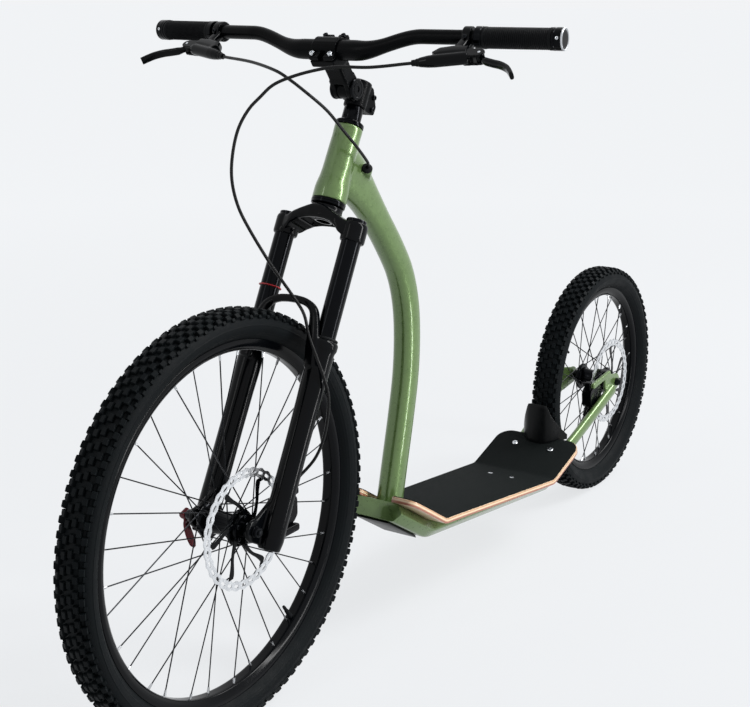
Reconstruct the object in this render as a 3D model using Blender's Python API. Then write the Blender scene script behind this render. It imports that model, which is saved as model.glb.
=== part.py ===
"""A dog scooter: big front wheel in a suspension fork, small rear wheel, low bent deck, two disc brakes.

Metres, +X forward, +Y to the rider's left, +Z up. Stations along the scooter are measured from the rear
axle, so every piece hangs under an empty that puts the middle of the whole scooter on the origin.
"""

import math

import bmesh
import bpy
from mathutils import Matrix, Vector

# Gaps
FIT = 0.0003
RUNNING = 0.0004
MERGE = 0.000001

# Sides and steps of round shapes
WHEEL_STEPS = 40
ROUND_STEPS = 18
SMALL_STEPS = 8
TUBE_SIDES = 12
BAR_SIDES = 10
HOLLOW_SIDES = 8
SPOKE_SIDES = 3

# Wheels
WHEELBASE = 1.306
TYRE_HEIGHT = 0.0515
FRONT_TYRE_RADIUS = 0.331
FRONT_BEAD_RADIUS = FRONT_TYRE_RADIUS - TYRE_HEIGHT
REAR_TYRE_RADIUS = 0.2545
REAR_BEAD_RADIUS = REAR_TYRE_RADIUS - TYRE_HEIGHT
TYRE_WIDTH = 0.058
TREAD_WIDTH = 0.050
TREAD_THICK = 0.007
TYRE_WALL = 0.0035
RIM_WIDTH = 0.031
RIM_FLANGE = 0.006
RIM_WALL = 0.0018
RIM_DEPTH = 0.0125
SPOKE_COUNT = 32
SPOKE_CROSSES = 3
SPOKE_WIDTH = 0.002
SPOKE_OFFSET = 0.0025
HUB_BODY_RADIUS = 0.020
HUB_END_RADIUS = 0.0125
HUB_FLANGE_RADIUS = 0.029
HUB_FLANGE_Y = 0.0285
HUB_FLANGE_WIDTH = 0.006
SPOKE_CIRCLE = 0.0258
VALVE_RADIUS = 0.003
VALVE_LENGTH = 0.030
FRONT_VALVE_ANGLE = math.radians(233.5)
REAR_VALVE_ANGLE = math.radians(33.5)

# Axles and dropouts
AXLE_RADIUS = 0.0045
DROPOUT_SPACING = 0.100
REAR_DROPOUT_THICK = 0.006
FORK_DROPOUT_THICK = 0.008
AXLE_COLLAR_RADIUS = 0.008
AXLE_COLLAR_LENGTH = 0.0029
AXLE_NUT_RADIUS = 0.0088
AXLE_NUT_LENGTH = 0.008
AXLE_STUB = 0.0035
AXLE_HEAD_LENGTH = 0.0155
CAM_RADIUS = 0.0058
QUICK_LEVER_ANGLE = math.radians(222.3)

# Brakes
ROTOR_Y = 0.0385
ROTOR_THICK = 0.002
ROTOR_RADIUS = 0.095
ROTOR_TRACK = 0.016
ROTOR_CARRIER_RADIUS = 0.024
ROTOR_ARMS = 6
ROTOR_ARM_WIDTH = 0.008
ROTOR_ARM_SWEEP = math.radians(38)
CALIPER_INNER = 0.066
CALIPER_OUTER = 0.118
CALIPER_HALF_LENGTH = 0.0235
CALIPER_HALF_WIDTH = 0.0110
CALIPER_SLOT_TOP = 0.0985
CALIPER_EAR_LENGTH = 0.013
CALIPER_EAR_INNER = 0.098
CALIPER_EAR_OUTER = 0.112
CALIPER_EAR_HALF_WIDTH = 0.008
CALIPER_PORT_RADIUS = 0.0055
CALIPER_PORT_LENGTH = 0.030
CALIPER_PORT_START = Vector((0.105, 0, -0.016))
CALIPER_PORT_AXIS = Vector((0.8, 0, -0.6))
PAD_THICK = 0.004
PAD_LENGTH = 0.028
PAD_HEIGHT = 0.017
PAD_GAP = 0.0006
FRONT_CALIPER_ANGLE = math.radians(152)
REAR_CALIPER_ANGLE = math.radians(-8)

# Steering axis and fork, in heights along the axis above the front axle's level
HEAD_ANGLE = math.radians(63)
FORK_RAKE = 0.040
LEG_FORWARD = 0.004
LEG_Y = 0.065
LEG_RADIUS = 0.0202
LEG_FOOT = -0.022
ARCH_OVER_TYRE = 0.032
ARCH_TOP = FRONT_TYRE_RADIUS + ARCH_OVER_TYRE
ARCH_RISE = 0.053
LEG_TOP = ARCH_TOP - ARCH_RISE
LEG_BORE_FLOOR = 0.030
COLLAR_RADIUS = 0.0228
COLLAR_HEIGHT = 0.018
STANCHION_RADIUS = 0.016
STANCHION_WALL = 0.0018
STANCHION_BOTTOM = 0.150
FORK_TRAVEL = 0.069
ROD_RADIUS = 0.005
PISTON_LENGTH = 0.018
ARCH_FORWARD = 0.0245
ARCH_DEPTH = 0.013
ARCH_HEIGHT = 0.0125
RING_OVER_LEG = FORK_TRAVEL + 0.002
RING_THICK = 0.0024
STANCHION_SHOWN = 0.1585
CROWN_HEIGHT = 0.038
CROWN_BOTTOM = LEG_TOP + STANCHION_SHOWN
CROWN_TOP = CROWN_BOTTOM + CROWN_HEIGHT
CROWN_BLOCK_RADIUS = 0.0195
CROWN_CENTRE_RISE = 0.0167
CROWN_CENTRE_THICK = 0.0262
CROWN_CENTRE_TOP = CROWN_TOP + CROWN_CENTRE_RISE
CROWN_CENTRE_BOTTOM = CROWN_CENTRE_TOP - CROWN_CENTRE_THICK
STEERER_RADIUS = 0.0143
STEERER_WALL = 0.0025

# Head tube and headset
HEADSET_RING = 0.0085
HEAD_TUBE_LENGTH = 0.1262
HEAD_TUBE_BOTTOM = CROWN_CENTRE_TOP + FIT + HEADSET_RING + FIT
HEAD_TUBE_TOP = HEAD_TUBE_BOTTOM + HEAD_TUBE_LENGTH
HEAD_TUBE_LOW_RADIUS = 0.028
HEAD_TUBE_HIGH_RADIUS = 0.0233
HEAD_BORE_RADIUS = 0.0208
HEADSET_DEPTH = 0.012

# Stem
STEERER_SHOWN = 0.0335
STEM_BASE_HEIGHT = 0.044
STEM_BASE_BOTTOM = HEAD_TUBE_TOP + STEERER_SHOWN
STEM_BASE_TOP = STEM_BASE_BOTTOM + STEM_BASE_HEIGHT
STEM_BASE_RADIUS = 0.0185
STEM_PIVOT_FORWARD = 0.0335
STEM_PIVOT_LIFT = 0.018
STEM_PIVOT_HEIGHT = STEM_BASE_BOTTOM + STEM_PIVOT_LIFT
STEM_PIVOT_RADIUS = 0.0165
STEM_TONGUE_HALF = 0.0085
STEM_CHEEK_HALF = 0.0175
PIVOT_DISC_RADIUS = 0.017
PIVOT_DISC_THICK = 0.0042
PIVOT_SHANK_RADIUS = 0.004
STEM_LENGTH = 0.0765
STEM_RISE = math.radians(27.6)
BAR_CLAMP_HALF = 0.0225
BAR_CLAMP_HEIGHT = 0.0285
BAR_CLAMP_WALL = 0.0035
BAR_CLAMP_LUG = 0.0075
FACEPLATE_BOLT_Y = 0.0168
FACEPLATE_BOLT_Z = 0.0225
BOLT_HEAD_RADIUS = 0.0042
BOLT_HEAD_HEIGHT = 0.005
BOLT_SHANK_RADIUS = 0.0025
BOLT_SHANK_LENGTH = 0.017

# Handlebar, grips and levers
BAR_HALF = 0.3815
BAR_RADIUS = 0.0159
BAR_END_RADIUS = 0.0111
BAR_WALL = 0.002
BAR_CENTRE_HALF = 0.045
BAR_TAPER_END = 0.105
BAR_BEND_START = 0.055
BAR_BEND_END = 0.160
BAR_BEND_BACK = 0.0133
BAR_RISE = 0.0225
BAR_SWEEP = math.radians(7.6)
BAR_END_BARE = 0.017
GRIP_LENGTH = 0.117
GRIP_OUTER_Y = BAR_HALF - BAR_END_BARE
GRIP_INNER_Y = GRIP_OUTER_Y - GRIP_LENGTH
GRIP_RADIUS = 0.0163
LOCK_RING_RADIUS = 0.0168
LOCK_RING_LENGTH = 0.0175
LOCK_RING_CAP = 0.0022
LEVER_PIVOT_REACH = 0.028
LEVER_PIVOT = Vector((0.014, GRIP_INNER_Y + LEVER_PIVOT_REACH, -0.003))
LEVER_TILT = math.radians(31)
LEVER_CLAMP_SPACE = 0.0125
LEVER_CLAMP_Y = GRIP_INNER_Y - LEVER_CLAMP_SPACE
LEVER_CLAMP_WIDTH = 0.021
LEVER_CLAMP_RADIUS = 0.0165
LEVER_BODY_RADIUS = 0.0095
LEVER_BODY_START = Vector((0.006, -0.0165, 0.002))
LEVER_BODY_END = Vector((0.028, -0.088, 0.006))
LEVER_PORT_LENGTH = 0.0105
LEVER_PORT_RADIUS = 0.0055
LEVER_EAR_RADIUS = 0.0085
LEVER_EAR_THICK = 0.0035
LEVER_PIN_RADIUS = 0.0025
BLADE_HALF_WIDTH = 0.005
BLADE_BOSS_RADIUS = 0.0068

# The brake blade in its pin's frame: forward, outwards and half its thickness there
BLADE_ROUTE = (
    (0.001, 0.002, 0.0045),
    (0.0095, 0.012, 0.0042),
    (0.0145, 0.026, 0.0040),
    (0.0190, 0.042, 0.0040),
    (0.0265, 0.056, 0.0038),
    (0.0360, 0.0655, 0.0036),
    (0.0435, 0.0715, 0.0032),
)

# Frame
DECK_SLOPE = 0.1145
DECK_REFERENCE = Vector((0.55, 0.162))
NOSE_KICK_X = WHEELBASE - 0.521
NOSE_KICK_SLOPE = 0.619
NOSE_END_X = WHEELBASE - 0.414
TAIL_KICK_X = REAR_TYRE_RADIUS + 0.1215
TAIL_KICK_SLOPE = 0.349
TAIL_END_X = REAR_TYRE_RADIUS - 0.0025
DECK_THICK = 0.010
GRIP_SHEET_THICK = 0.0012
GRIP_SHEET_INSET = 0.004
DECK_NOSE_HALF = 0.083
DECK_TAIL_HALF = 0.095
NOSE_CORNER_RADIUS = 0.016
TAIL_CORNER_RADIUS = 0.030
NOTCH_HALF = 0.030
NOTCH_BACK_X = WHEELBASE - 0.500
BEAM_WIDTH = 0.100
BEAM_FLAT = 0.072
BEAM_HEIGHT = 0.033
BEAM_REAR_X = REAR_TYRE_RADIUS + 0.0635
FRAME_WALL = 0.0026
NOSE_PLATE_THICK = 0.004
STAY_WIDTH = 0.018
STAY_HEIGHT = 0.026
STAY_END_X = 0.030
STAY_END_Y = 0.0605
TUBE_WIDTH = 0.043
TUBE_DEPTH = 0.050
GUSSET_DEPTH = 0.078
PORT_RADIUS = 0.0095
PORT_BORE = 0.0062
HOSE_EXIT_Y = 0.012
HOSE_RADIUS = 0.0025
HOSE_STRAIGHT = 0.008
HOSE_STEP = 0.0185
HOSE_HIDDEN_STEP = 0.040
BOLT_DOME_RADIUS = 0.0065
BOLT_DOME_HEIGHT = 0.0036
FLUSH_HEAD_RADIUS = 0.0055
FLUSH_HEAD_HEIGHT = 0.0032
FLUSH_HEAD_DEPTH = 0.0003
DECK_BOLT_RADIUS = 0.003
DECK_BOLT_LENGTH = 0.020
MID_BOLT = Vector((TAIL_KICK_X + 0.054, 0.025))
TAIL_BOLT = Vector((REAR_TYRE_RADIUS + 0.0375, 0.042))
GUARD_HALF = 0.022
GUARD_X = REAR_TYRE_RADIUS + 0.0255
GUARD_THICK = 0.0025
GUARD_TOP = 0.262
SKID_HALF = 0.035
SKID_THICK = 0.004

# The main tube's centre line from the head tube down to the beam: distance behind the front axle, share of
# its whole rise and depth of its section
TUBE_HEAD_HEIGHT = FRONT_TYRE_RADIUS + 0.515
TUBE_FOOT_DEPTH = 0.0158
MAIN_TUBE_ROUTE = (
    (0.310, 1.0, GUSSET_DEPTH),
    (0.341, 0.9541, GUSSET_DEPTH),
    (0.373, 0.9019, 0.062),
    (0.411, 0.8339, TUBE_DEPTH),
    (0.454, 0.75, TUBE_DEPTH),
    (0.487, 0.6709, TUBE_DEPTH),
    (0.506, 0.5823, TUBE_DEPTH),
    (0.512, 0.4842, TUBE_DEPTH),
    (0.508, 0.3734, TUBE_DEPTH),
    (0.494, 0.2595, TUBE_DEPTH),
    (0.474, 0.1266, TUBE_DEPTH),
    (0.455, 0.0, TUBE_DEPTH),
)

# The port where the rear hose enters the main tube
HOSE_PORT = Vector((WHEELBASE - 0.358, 0.0165, TUBE_HEAD_HEIGHT - 0.024))
HOSE_PORT_AXIS = Vector((0.60, 0.52, 0.61)).normalized()
HOSE_PORT_HEIGHT = 0.0195

# Brake hoses, between the points that their fittings set: the front one in the steering axis's frame
# as (forward, left, along the axis), the rear one in stations, its last stretch inside the frame
FRONT_HOSE = (
    (0.148, 0.117, 0.699),
    (0.170, 0.073, 0.688),
    (0.185, 0.040, 0.673),
    (0.199, 0.014, 0.655),
    (0.207, -0.004, 0.639),
    (0.213, -0.015, 0.618),
    (0.218, -0.026, 0.595),
    (0.219, -0.034, 0.563),
    (0.213, -0.036, 0.525),
    (0.199, -0.036, 0.491),
    (0.173, -0.034, 0.461),
    (0.142, -0.026, 0.435),
    (0.095, -0.005, 0.396),
    (0.048, 0.019, 0.360),
    (0.040, 0.040, 0.338),
    (0.034, 0.055, 0.308),
    (0.028, 0.075, 0.278),
    (0.014, 0.089, 0.250),
    (-0.006, 0.092, 0.226),
    (-0.026, 0.087, 0.196),
    (-0.046, 0.076, 0.161),
    (-0.062, 0.058, 0.130),
)
REAR_HOSE_OUTSIDE = (
    (1.100, -0.093, 1.005),
    (1.130, -0.025, 0.996),
    (1.130, 0.001, 0.984),
    (1.118, 0.023, 0.965),
    (1.080, 0.034, 0.936),
    (1.045, 0.038, 0.905),
    (1.008, 0.041, 0.873),
)
REAR_HOSE_INSIDE = (
    (0.933, 0.003, 0.803),
    (0.895, 0.000, 0.745),
    (0.852, 0.000, 0.690),
    (0.819, 0.000, 0.640),
    (0.800, 0.000, 0.582),
    (0.794, 0.000, 0.520),
    (0.798, 0.000, 0.450),
    (0.812, 0.000, 0.378),
    (0.832, 0.000, 0.294),
    (0.846, 0.001, 0.235),
    (0.842, 0.003, 0.207),
    (0.822, 0.005, 0.183),
    (0.785, 0.007, 0.163),
    (0.700, 0.010, 0.150),
    (0.600, 0.012, 0.139),
    (0.500, 0.012, 0.128),
    (0.400, 0.012, 0.1165),
    (0.340, 0.012, 0.110),
    (0.312, 0.012, 0.106),
    (0.290, 0.020, 0.112),
    (0.268, 0.033, 0.132),
    (0.240, 0.0410, 0.154),
    (0.200, 0.0425, 0.173),
    (0.160, 0.0415, 0.187),
)

# Derived places
Y_FROM_Z = Matrix.Rotation(-math.pi / 2, 4, "X")
MIDDLE_X = (WHEELBASE + FRONT_TYRE_RADIUS - REAR_TYRE_RADIUS) / 2
DROPOUT_Y = DROPOUT_SPACING / 2
HUB_HALF = DROPOUT_Y - FIT - AXLE_COLLAR_LENGTH - FIT
AXIS_LEAN = math.pi / 2 - HEAD_ANGLE
AXIS_FORWARD = Vector((math.cos(AXIS_LEAN), 0, math.sin(AXIS_LEAN)))
FRONT_AXLE = Vector((WHEELBASE, 0, FRONT_TYRE_RADIUS))
REAR_AXLE = Vector((0, 0, REAR_TYRE_RADIUS))
AXIS_FOOT = FRONT_AXLE - FORK_RAKE * AXIS_FORWARD
STEERING = Matrix.Translation(AXIS_FOOT) @ Matrix.Rotation(-AXIS_LEAN, 4, "Y")
STEM_PIVOT = Vector((STEM_PIVOT_FORWARD, 0, STEM_PIVOT_HEIGHT))
LEVEL_TURN = AXIS_LEAN + STEM_RISE
STEM = STEERING @ Matrix.Translation(STEM_PIVOT) @ Matrix.Rotation(-STEM_RISE, 4, "Y")
BAR = STEM @ Matrix.Translation((STEM_LENGTH, 0, 0)) @ Matrix.Rotation(LEVEL_TURN, 4, "Y")

# Colours, roughness and metal
SAGE_PAINT = ("#6E8C5A", 0.30, 0.5)
BLACK_PAINT = ("#15171A", 0.30, 0.0)
BLACK_METAL = ("#1D1F22", 0.40, 0.8)
BRIGHT_METAL = ("#C4C7CA", 0.25, 1.0)
STEEL = ("#9DA1A5", 0.30, 1.0)
RUBBER = ("#1B1D1E", 0.85, 0.0)
PLASTIC = ("#202224", 0.55, 0.0)
PLYWOOD = ("#D9AF8C", 0.55, 0.0)
GRIP_TAPE = ("#1E2223", 0.95, 0.0)
DARK_RED = ("#6E1620", 0.35, 0.6)
PAD_STUFF = ("#5B4A3C", 0.90, 0.0)


# Scene and objects


def clear_scene():
    for obj in list(bpy.data.objects):
        bpy.data.objects.remove(obj)


def colour(code):
    """The linear colour of an sRGB hex code."""
    parts = [int(code[i : i + 2], 16) / 255 for i in (1, 3, 5)]
    return [(part / 12.92) if part <= 0.04045 else ((part + 0.055) / 1.055) ** 2.4 for part in parts] + [1]


def material(name, finish):
    code, roughness, metallic = finish
    made = bpy.data.materials.new(name)
    made.use_nodes = True
    shader = made.node_tree.nodes["Principled BSDF"]
    shader.inputs["Base Color"].default_value = colour(code)
    shader.inputs["Roughness"].default_value = roughness
    shader.inputs["Metallic"].default_value = metallic
    made.diffuse_color = colour(code)
    return made


def empty(name, matrix, parent=None):
    """An empty at a place given in its parent's frame."""
    made = bpy.data.objects.new(name, None)
    bpy.context.scene.collection.objects.link(made)
    made.parent = parent
    made.matrix_local = matrix
    return made


def piece(name, shape, parent, finish=None):
    """An object made from a bmesh, shaded smooth except at its real edges."""
    mesh = bpy.data.meshes.new(name)
    shape.to_mesh(mesh)
    shape.free()
    mesh.shade_smooth()
    mesh.set_sharp_from_angle(angle=math.radians(35))
    made = bpy.data.objects.new(name, mesh)
    bpy.context.scene.collection.objects.link(made)
    made.parent = parent
    if finish:
        mesh.materials.append(material(name, finish))
    return made


def combine(target, shape, label, operation):
    """Joins a helper shape to the target, or cuts it away, with a Boolean that stays on the target."""
    helper = piece(f"{target.name}_{label}", shape, target.parent)
    helper.hide_render = True
    helper.display_type = "WIRE"
    boolean = target.modifiers.new(label, "BOOLEAN")
    boolean.operation = operation
    boolean.solver = "EXACT"
    boolean.object = helper


def join(target, shape, label):
    combine(target, shape, label, "UNION")


def cut(target, shape, label):
    combine(target, shape, label, "DIFFERENCE")


# Shapes


def merged(shapes):
    """One bmesh that holds several."""
    whole = bmesh.new()
    for shape in shapes:
        mesh = bpy.data.meshes.new("part_of_shape")
        shape.to_mesh(mesh)
        shape.free()
        whole.from_mesh(mesh)
        bpy.data.meshes.remove(mesh)
    return whole


def placed(shape, place=(0, 0, 0), axis=(0, 0, 1)):
    """Turns a shape so that its Z lies along the axis, and moves it."""
    turn = Vector((0, 0, 1)).rotation_difference(Vector(axis)).to_matrix().to_4x4()
    shape.transform(Matrix.Translation(place) @ turn)
    return shape


def moved(shape, matrix):
    shape.transform(matrix)
    return shape


def facing_out(shape):
    """Turns every face of one closed body outwards."""
    bmesh.ops.recalc_face_normals(shape, faces=shape.faces)
    if shape.calc_volume(signed=True) < 0:
        bmesh.ops.reverse_faces(shape, faces=shape.faces)
    return shape


def loft(rings, looped=False):
    """A closed skin over rings of points: capped at both ends, or joined end to end."""
    shape = bmesh.new()
    rows = [[shape.verts.new(point) for point in ring] for ring in rings]
    pairs = list(zip(rows, rows[1:]))
    if looped:
        pairs.append((rows[-1], rows[0]))
    for low, high in pairs:
        for i in range(len(low)):
            j = (i + 1) % len(low)
            shape.faces.new((low[i], low[j], high[j], high[i]))
    if not looped:
        shape.faces.new(rows[0])
        shape.faces.new(rows[-1])
    return facing_out(shape)


def path_frames(points, reference):
    """Each path point with the across and up directions of the plane that halves its bend."""
    points = [Vector(point) for point in points]
    frames = []
    for i, point in enumerate(points):
        ahead = Vector((0, 0, 0))
        if i > 0:
            ahead += (point - points[i - 1]).normalized()
        if i < len(points) - 1:
            ahead += (points[i + 1] - point).normalized()
        ahead.normalize()
        across = (Vector(reference) - ahead * ahead.dot(Vector(reference))).normalized()
        frames.append((point, across, ahead.cross(across)))
    return frames


def path_rings(points, sections, reference=(0, 1, 0)):
    """Rings of points, one section of (across, up) offsets square on each path point."""
    frames = path_frames(points, reference)
    return [
        [point + across * u + up * v for u, v in section]
        for (point, across, up), section in zip(frames, sections)
    ]


def swept(points, sections, reference=(0, 1, 0)):
    return loft(path_rings(points, sections, reference))


def oval(half_width, half_height, sides=TUBE_SIDES):
    turns = [2 * math.pi * (i + 0.5) / sides for i in range(sides)]
    return [(half_width * math.cos(turn), half_height * math.sin(turn)) for turn in turns]


def block_section(half_width, half_height, corner):
    """A rectangle with cut corners."""
    inner_width = half_width - corner
    inner_height = half_height - corner
    quarter = [(half_width, inner_height), (inner_width, half_height)]
    upper = quarter + [(-u, v) for u, v in reversed(quarter)]
    return upper + [(-u, -v) for u, v in upper]


def turned(profile, steps=ROUND_STEPS):
    """A body turned about Z from (radius, height) points: a ring if its ends are off the axis."""
    shape = bmesh.new()
    corners = [shape.verts.new((radius, 0, height)) for radius, height in profile]
    edges = [shape.edges.new(pair) for pair in zip(corners, corners[1:])]
    if profile[0][0] > 0:
        edges.append(shape.edges.new((corners[-1], corners[0])))
    geometry = corners + edges
    bmesh.ops.spin(
        shape, geom=geometry, cent=(0, 0, 0), axis=(0, 0, 1), angle=2 * math.pi, steps=steps, use_merge=True
    )
    bmesh.ops.remove_doubles(shape, verts=shape.verts, dist=MERGE)
    return facing_out(shape)


def staggered(shape, steps=ROUND_STEPS):
    """Turned by half a step, so that its corners lie between those of a bore on the same axis."""
    return moved(shape, Matrix.Rotation(math.pi / steps, 4, "Z"))


def rod(radius, low, high, place=(0, 0, 0), axis=(0, 0, 1), steps=ROUND_STEPS):
    return placed(turned([(0, low), (radius, low), (radius, high), (0, high)], steps), place, axis)


def ring(inner, outer, low, high, steps=ROUND_STEPS):
    return turned([(inner, low), (outer, low), (outer, high), (inner, high)], steps)


def box(low, high):
    (x0, y0, z0), (x1, y1, z1) = low, high
    floor = [(x0, y0, z0), (x1, y0, z0), (x1, y1, z0), (x0, y1, z0)]
    return loft([floor, [(x, y, z1) for x, y, _ in floor]])


def side_prism(outline, low_y, high_y):
    """An (x, z) outline drawn out along Y."""
    return loft([[(x, y, z) for x, z in outline] for y in (low_y, high_y)])


def plan_prism(outline, low_z, high_z):
    """An (x, y) outline drawn out along Z."""
    return loft([[(x, y, z) for x, y in outline] for z in (low_z, high_z)])


def arc(centre, radius, start, end, steps):
    """Points on an arc, angles in degrees."""
    turns = [math.radians(start + (end - start) * i / steps) for i in range(steps + 1)]
    return [(centre[0] + radius * math.cos(turn), centre[1] + radius * math.sin(turn)) for turn in turns]


def smooth_path(points, spacing):
    """Points read at about this spacing from a smooth curve through the route's own points."""
    points = [Vector(point) for point in points]
    ends = [2 * points[0] - points[1]] + points + [2 * points[-1] - points[-2]]
    found = []
    for before, start, end, after in zip(ends, ends[1:], ends[2:], ends[3:]):
        count = max(1, round((end - start).length / spacing))
        for i in range(count):
            t = i / count
            leave = (end - before) / 2
            reach = (after - start) / 2
            found.append(
                start * (2 * t**3 - 3 * t**2 + 1)
                + leave * (t**3 - 2 * t**2 + t)
                + end * (3 * t**2 - 2 * t**3)
                + reach * (t**3 - t**2)
            )
    return found + [points[-1]]


def mirrored(points):
    """Path points followed by their mirror images across the middle plane, in travelling order."""
    return list(points) + [(x, -y, z) for x, y, z in reversed(points) if y]


# Wheels


def rim_profile(bead):
    outside = RIM_WIDTH / 2
    inside = outside - RIM_WALL
    top = bead + RIM_FLANGE
    half = [
        (bead - RIM_WALL, 0.0),
        (bead, inside),
        (top, inside),
        (top, outside),
        (bead - RIM_WALL, outside),
        (bead - RIM_DEPTH, outside * 0.6),
    ]
    return half + [(radius, -y) for radius, y in reversed(half) if y]


def tyre_profile(tyre_radius, bead):
    """A carcass that is open towards the rim between its beads."""
    seat = RIM_WIDTH / 2 - RIM_WALL - FIT
    rim_top = bead + RIM_FLANGE + FIT
    height = tyre_radius - rim_top
    side = TYRE_WIDTH / 2
    outer = [
        (bead + FIT, seat),
        (rim_top, seat),
        (rim_top + 0.10 * height, side * 0.72),
        (rim_top + 0.42 * height, side),
        (tyre_radius - 0.22 * height, side),
        (tyre_radius - 0.05 * height, TREAD_WIDTH / 2),
        (tyre_radius, TREAD_WIDTH / 4),
    ]
    inner = [
        (tyre_radius - TREAD_THICK, TREAD_WIDTH / 2 - TYRE_WALL),
        (rim_top + 0.42 * height, side - TYRE_WALL),
        (bead + FIT, seat - TYRE_WALL),
    ]
    outside = outer + [(radius, -y) for radius, y in reversed(outer)]
    return outside + [(radius, -y) for radius, y in reversed(inner)] + inner


def hub_shape():
    bore = AXLE_RADIUS + RUNNING
    flange_in = HUB_FLANGE_Y - HUB_FLANGE_WIDTH / 2
    flange_out = HUB_FLANGE_Y + HUB_FLANGE_WIDTH / 2
    rotor_face = ROTOR_Y - ROTOR_THICK / 2 - FIT
    return turned(
        [
            (bore, -HUB_HALF),
            (HUB_END_RADIUS, -HUB_HALF),
            (HUB_END_RADIUS, -rotor_face),
            (HUB_BODY_RADIUS, -flange_out),
            (HUB_FLANGE_RADIUS, -flange_out),
            (HUB_FLANGE_RADIUS, -flange_in),
            (HUB_BODY_RADIUS, -flange_in + HUB_FLANGE_WIDTH / 2),
            (HUB_BODY_RADIUS, flange_in - HUB_FLANGE_WIDTH / 2),
            (HUB_FLANGE_RADIUS, flange_in),
            (HUB_FLANGE_RADIUS, flange_out),
            (ROTOR_CARRIER_RADIUS, flange_out),
            (ROTOR_CARRIER_RADIUS, rotor_face),
            (HUB_END_RADIUS, rotor_face),
            (HUB_END_RADIUS, HUB_HALF),
            (bore, HUB_HALF),
        ]
    )


def facet_radius(radius, turn):
    """How far out a wheel's flat facets lie in this direction, for corners at this radius."""
    step = 2 * math.pi / WHEEL_STEPS
    return radius * math.cos(step / 2) / math.cos((turn / step % 1 - 0.5) * step)


def spoke_shapes(rim_inner):
    """Straight spokes, each leaving its flange almost along a tangent and crossing its neighbours."""
    shapes = []
    per_side = SPOKE_COUNT // 2
    lead = math.radians(360 / per_side * SPOKE_CROSSES)
    half = SPOKE_WIDTH / 2
    section = oval(half, half, SPOKE_SIDES)
    for side in (-1, 1):
        for i in range(per_side):
            direction = 1 if i % 2 else -1
            start = 2 * math.pi * (i + 0.25 * side) / per_side
            end = start + direction * lead
            height = side * (HUB_FLANGE_Y + direction * SPOKE_OFFSET)
            rim_reach = facet_radius(rim_inner, end) - FIT
            inner = Vector((SPOKE_CIRCLE * math.cos(start), SPOKE_CIRCLE * math.sin(start), height))
            outer = Vector((rim_reach * math.cos(end), rim_reach * math.sin(end), side * RIM_WIDTH / 8))
            outer -= (outer - inner).normalized() * half / 3
            shapes.append(swept([inner, outer], [section, section], reference=(0, 0, 1)))
    return merged(shapes)


def rotor(name, parent):
    inner = ROTOR_RADIUS - ROTOR_TRACK
    half = ROTOR_THICK / 2
    bore = HUB_END_RADIUS + FIT
    track = ring(inner, ROTOR_RADIUS, -half, half, WHEEL_STEPS)
    carrier = ring(bore, ROTOR_CARRIER_RADIUS, -half, half)
    onto_hub = Matrix.Translation((0, ROTOR_Y, 0)) @ Y_FROM_Z
    made = piece(name, moved(merged([track, carrier]), onto_hub), parent, BRIGHT_METAL)
    thin = half - 0.0001
    section = [(ROTOR_ARM_WIDTH / 2, thin), (-ROTOR_ARM_WIDTH / 2, thin)]
    section += [(-u, -v) for u, v in section]
    arms = []
    for i in range(ROTOR_ARMS):
        root = 2 * math.pi * i / ROTOR_ARMS
        root_radius = ROTOR_CARRIER_RADIUS - ROTOR_ARM_WIDTH / 2
        middle_radius = 0.45 * (inner + ROTOR_CARRIER_RADIUS)
        stops = ((root_radius, 0), (middle_radius, 0.65), (inner + 0.004, 1))
        turns = [(radius, root + share * ROTOR_ARM_SWEEP) for radius, share in stops]
        path = [(radius * math.cos(turn), radius * math.sin(turn), 0) for radius, turn in turns]
        flat_reference = Vector(path[-1]).cross(Vector((0, 0, 1)))
        arms.append(swept(path, [section] * len(path), flat_reference))
    join(made, moved(merged(arms), onto_hub), "arms")
    return made


def wheel(side, centre, tyre_radius, bead, valve_angle):
    """Rim, tyre, hub with its spokes, valve and rotor under the empty on the axle."""
    rim_inner = bead - RIM_DEPTH
    rim = turned(rim_profile(bead), WHEEL_STEPS)
    tyre = turned(tyre_profile(tyre_radius, bead), WHEEL_STEPS)
    piece(f"{side}_rim", moved(rim, Y_FROM_Z), centre, BLACK_METAL)
    piece(f"{side}_tyre", moved(tyre, Y_FROM_Z), centre, RUBBER)
    hub = piece(f"{side}_hub_and_spokes", moved(hub_shape(), Y_FROM_Z), centre, BLACK_METAL)
    join(hub, moved(spoke_shapes(rim_inner), Y_FROM_Z), "spokes")
    outward = Vector((math.cos(valve_angle), 0, math.sin(valve_angle)))
    valve_top = rim_inner * math.cos(math.pi / WHEEL_STEPS) - FIT
    valve = rod(VALVE_RADIUS, valve_top - VALVE_LENGTH, valve_top, axis=outward, steps=SMALL_STEPS)
    piece(f"{side}_valve", valve, centre, STEEL)
    rotor(f"{side}_rotor", centre)


def axle_shape(dropout_thick, left_end, right_end):
    """An axle with a collar inside each dropout and a nut or head outside it."""
    inside = DROPOUT_Y - FIT
    outside = DROPOUT_Y + dropout_thick + FIT
    collar_start = inside - AXLE_COLLAR_LENGTH

    def end(length, stub):
        far = outside + length
        return [
            (AXLE_RADIUS, collar_start),
            (AXLE_COLLAR_RADIUS, collar_start),
            (AXLE_COLLAR_RADIUS, inside),
            (AXLE_RADIUS, inside),
            (AXLE_RADIUS, outside),
            (AXLE_NUT_RADIUS, outside),
            (AXLE_NUT_RADIUS, far),
            (AXLE_RADIUS, far),
            (AXLE_RADIUS, far + stub),
            (0, far + stub),
        ]

    right = [(radius, -y) for radius, y in reversed(end(*right_end))]
    return moved(turned(right + end(*left_end), TUBE_SIDES), Y_FROM_Z)


# Brakes


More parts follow.
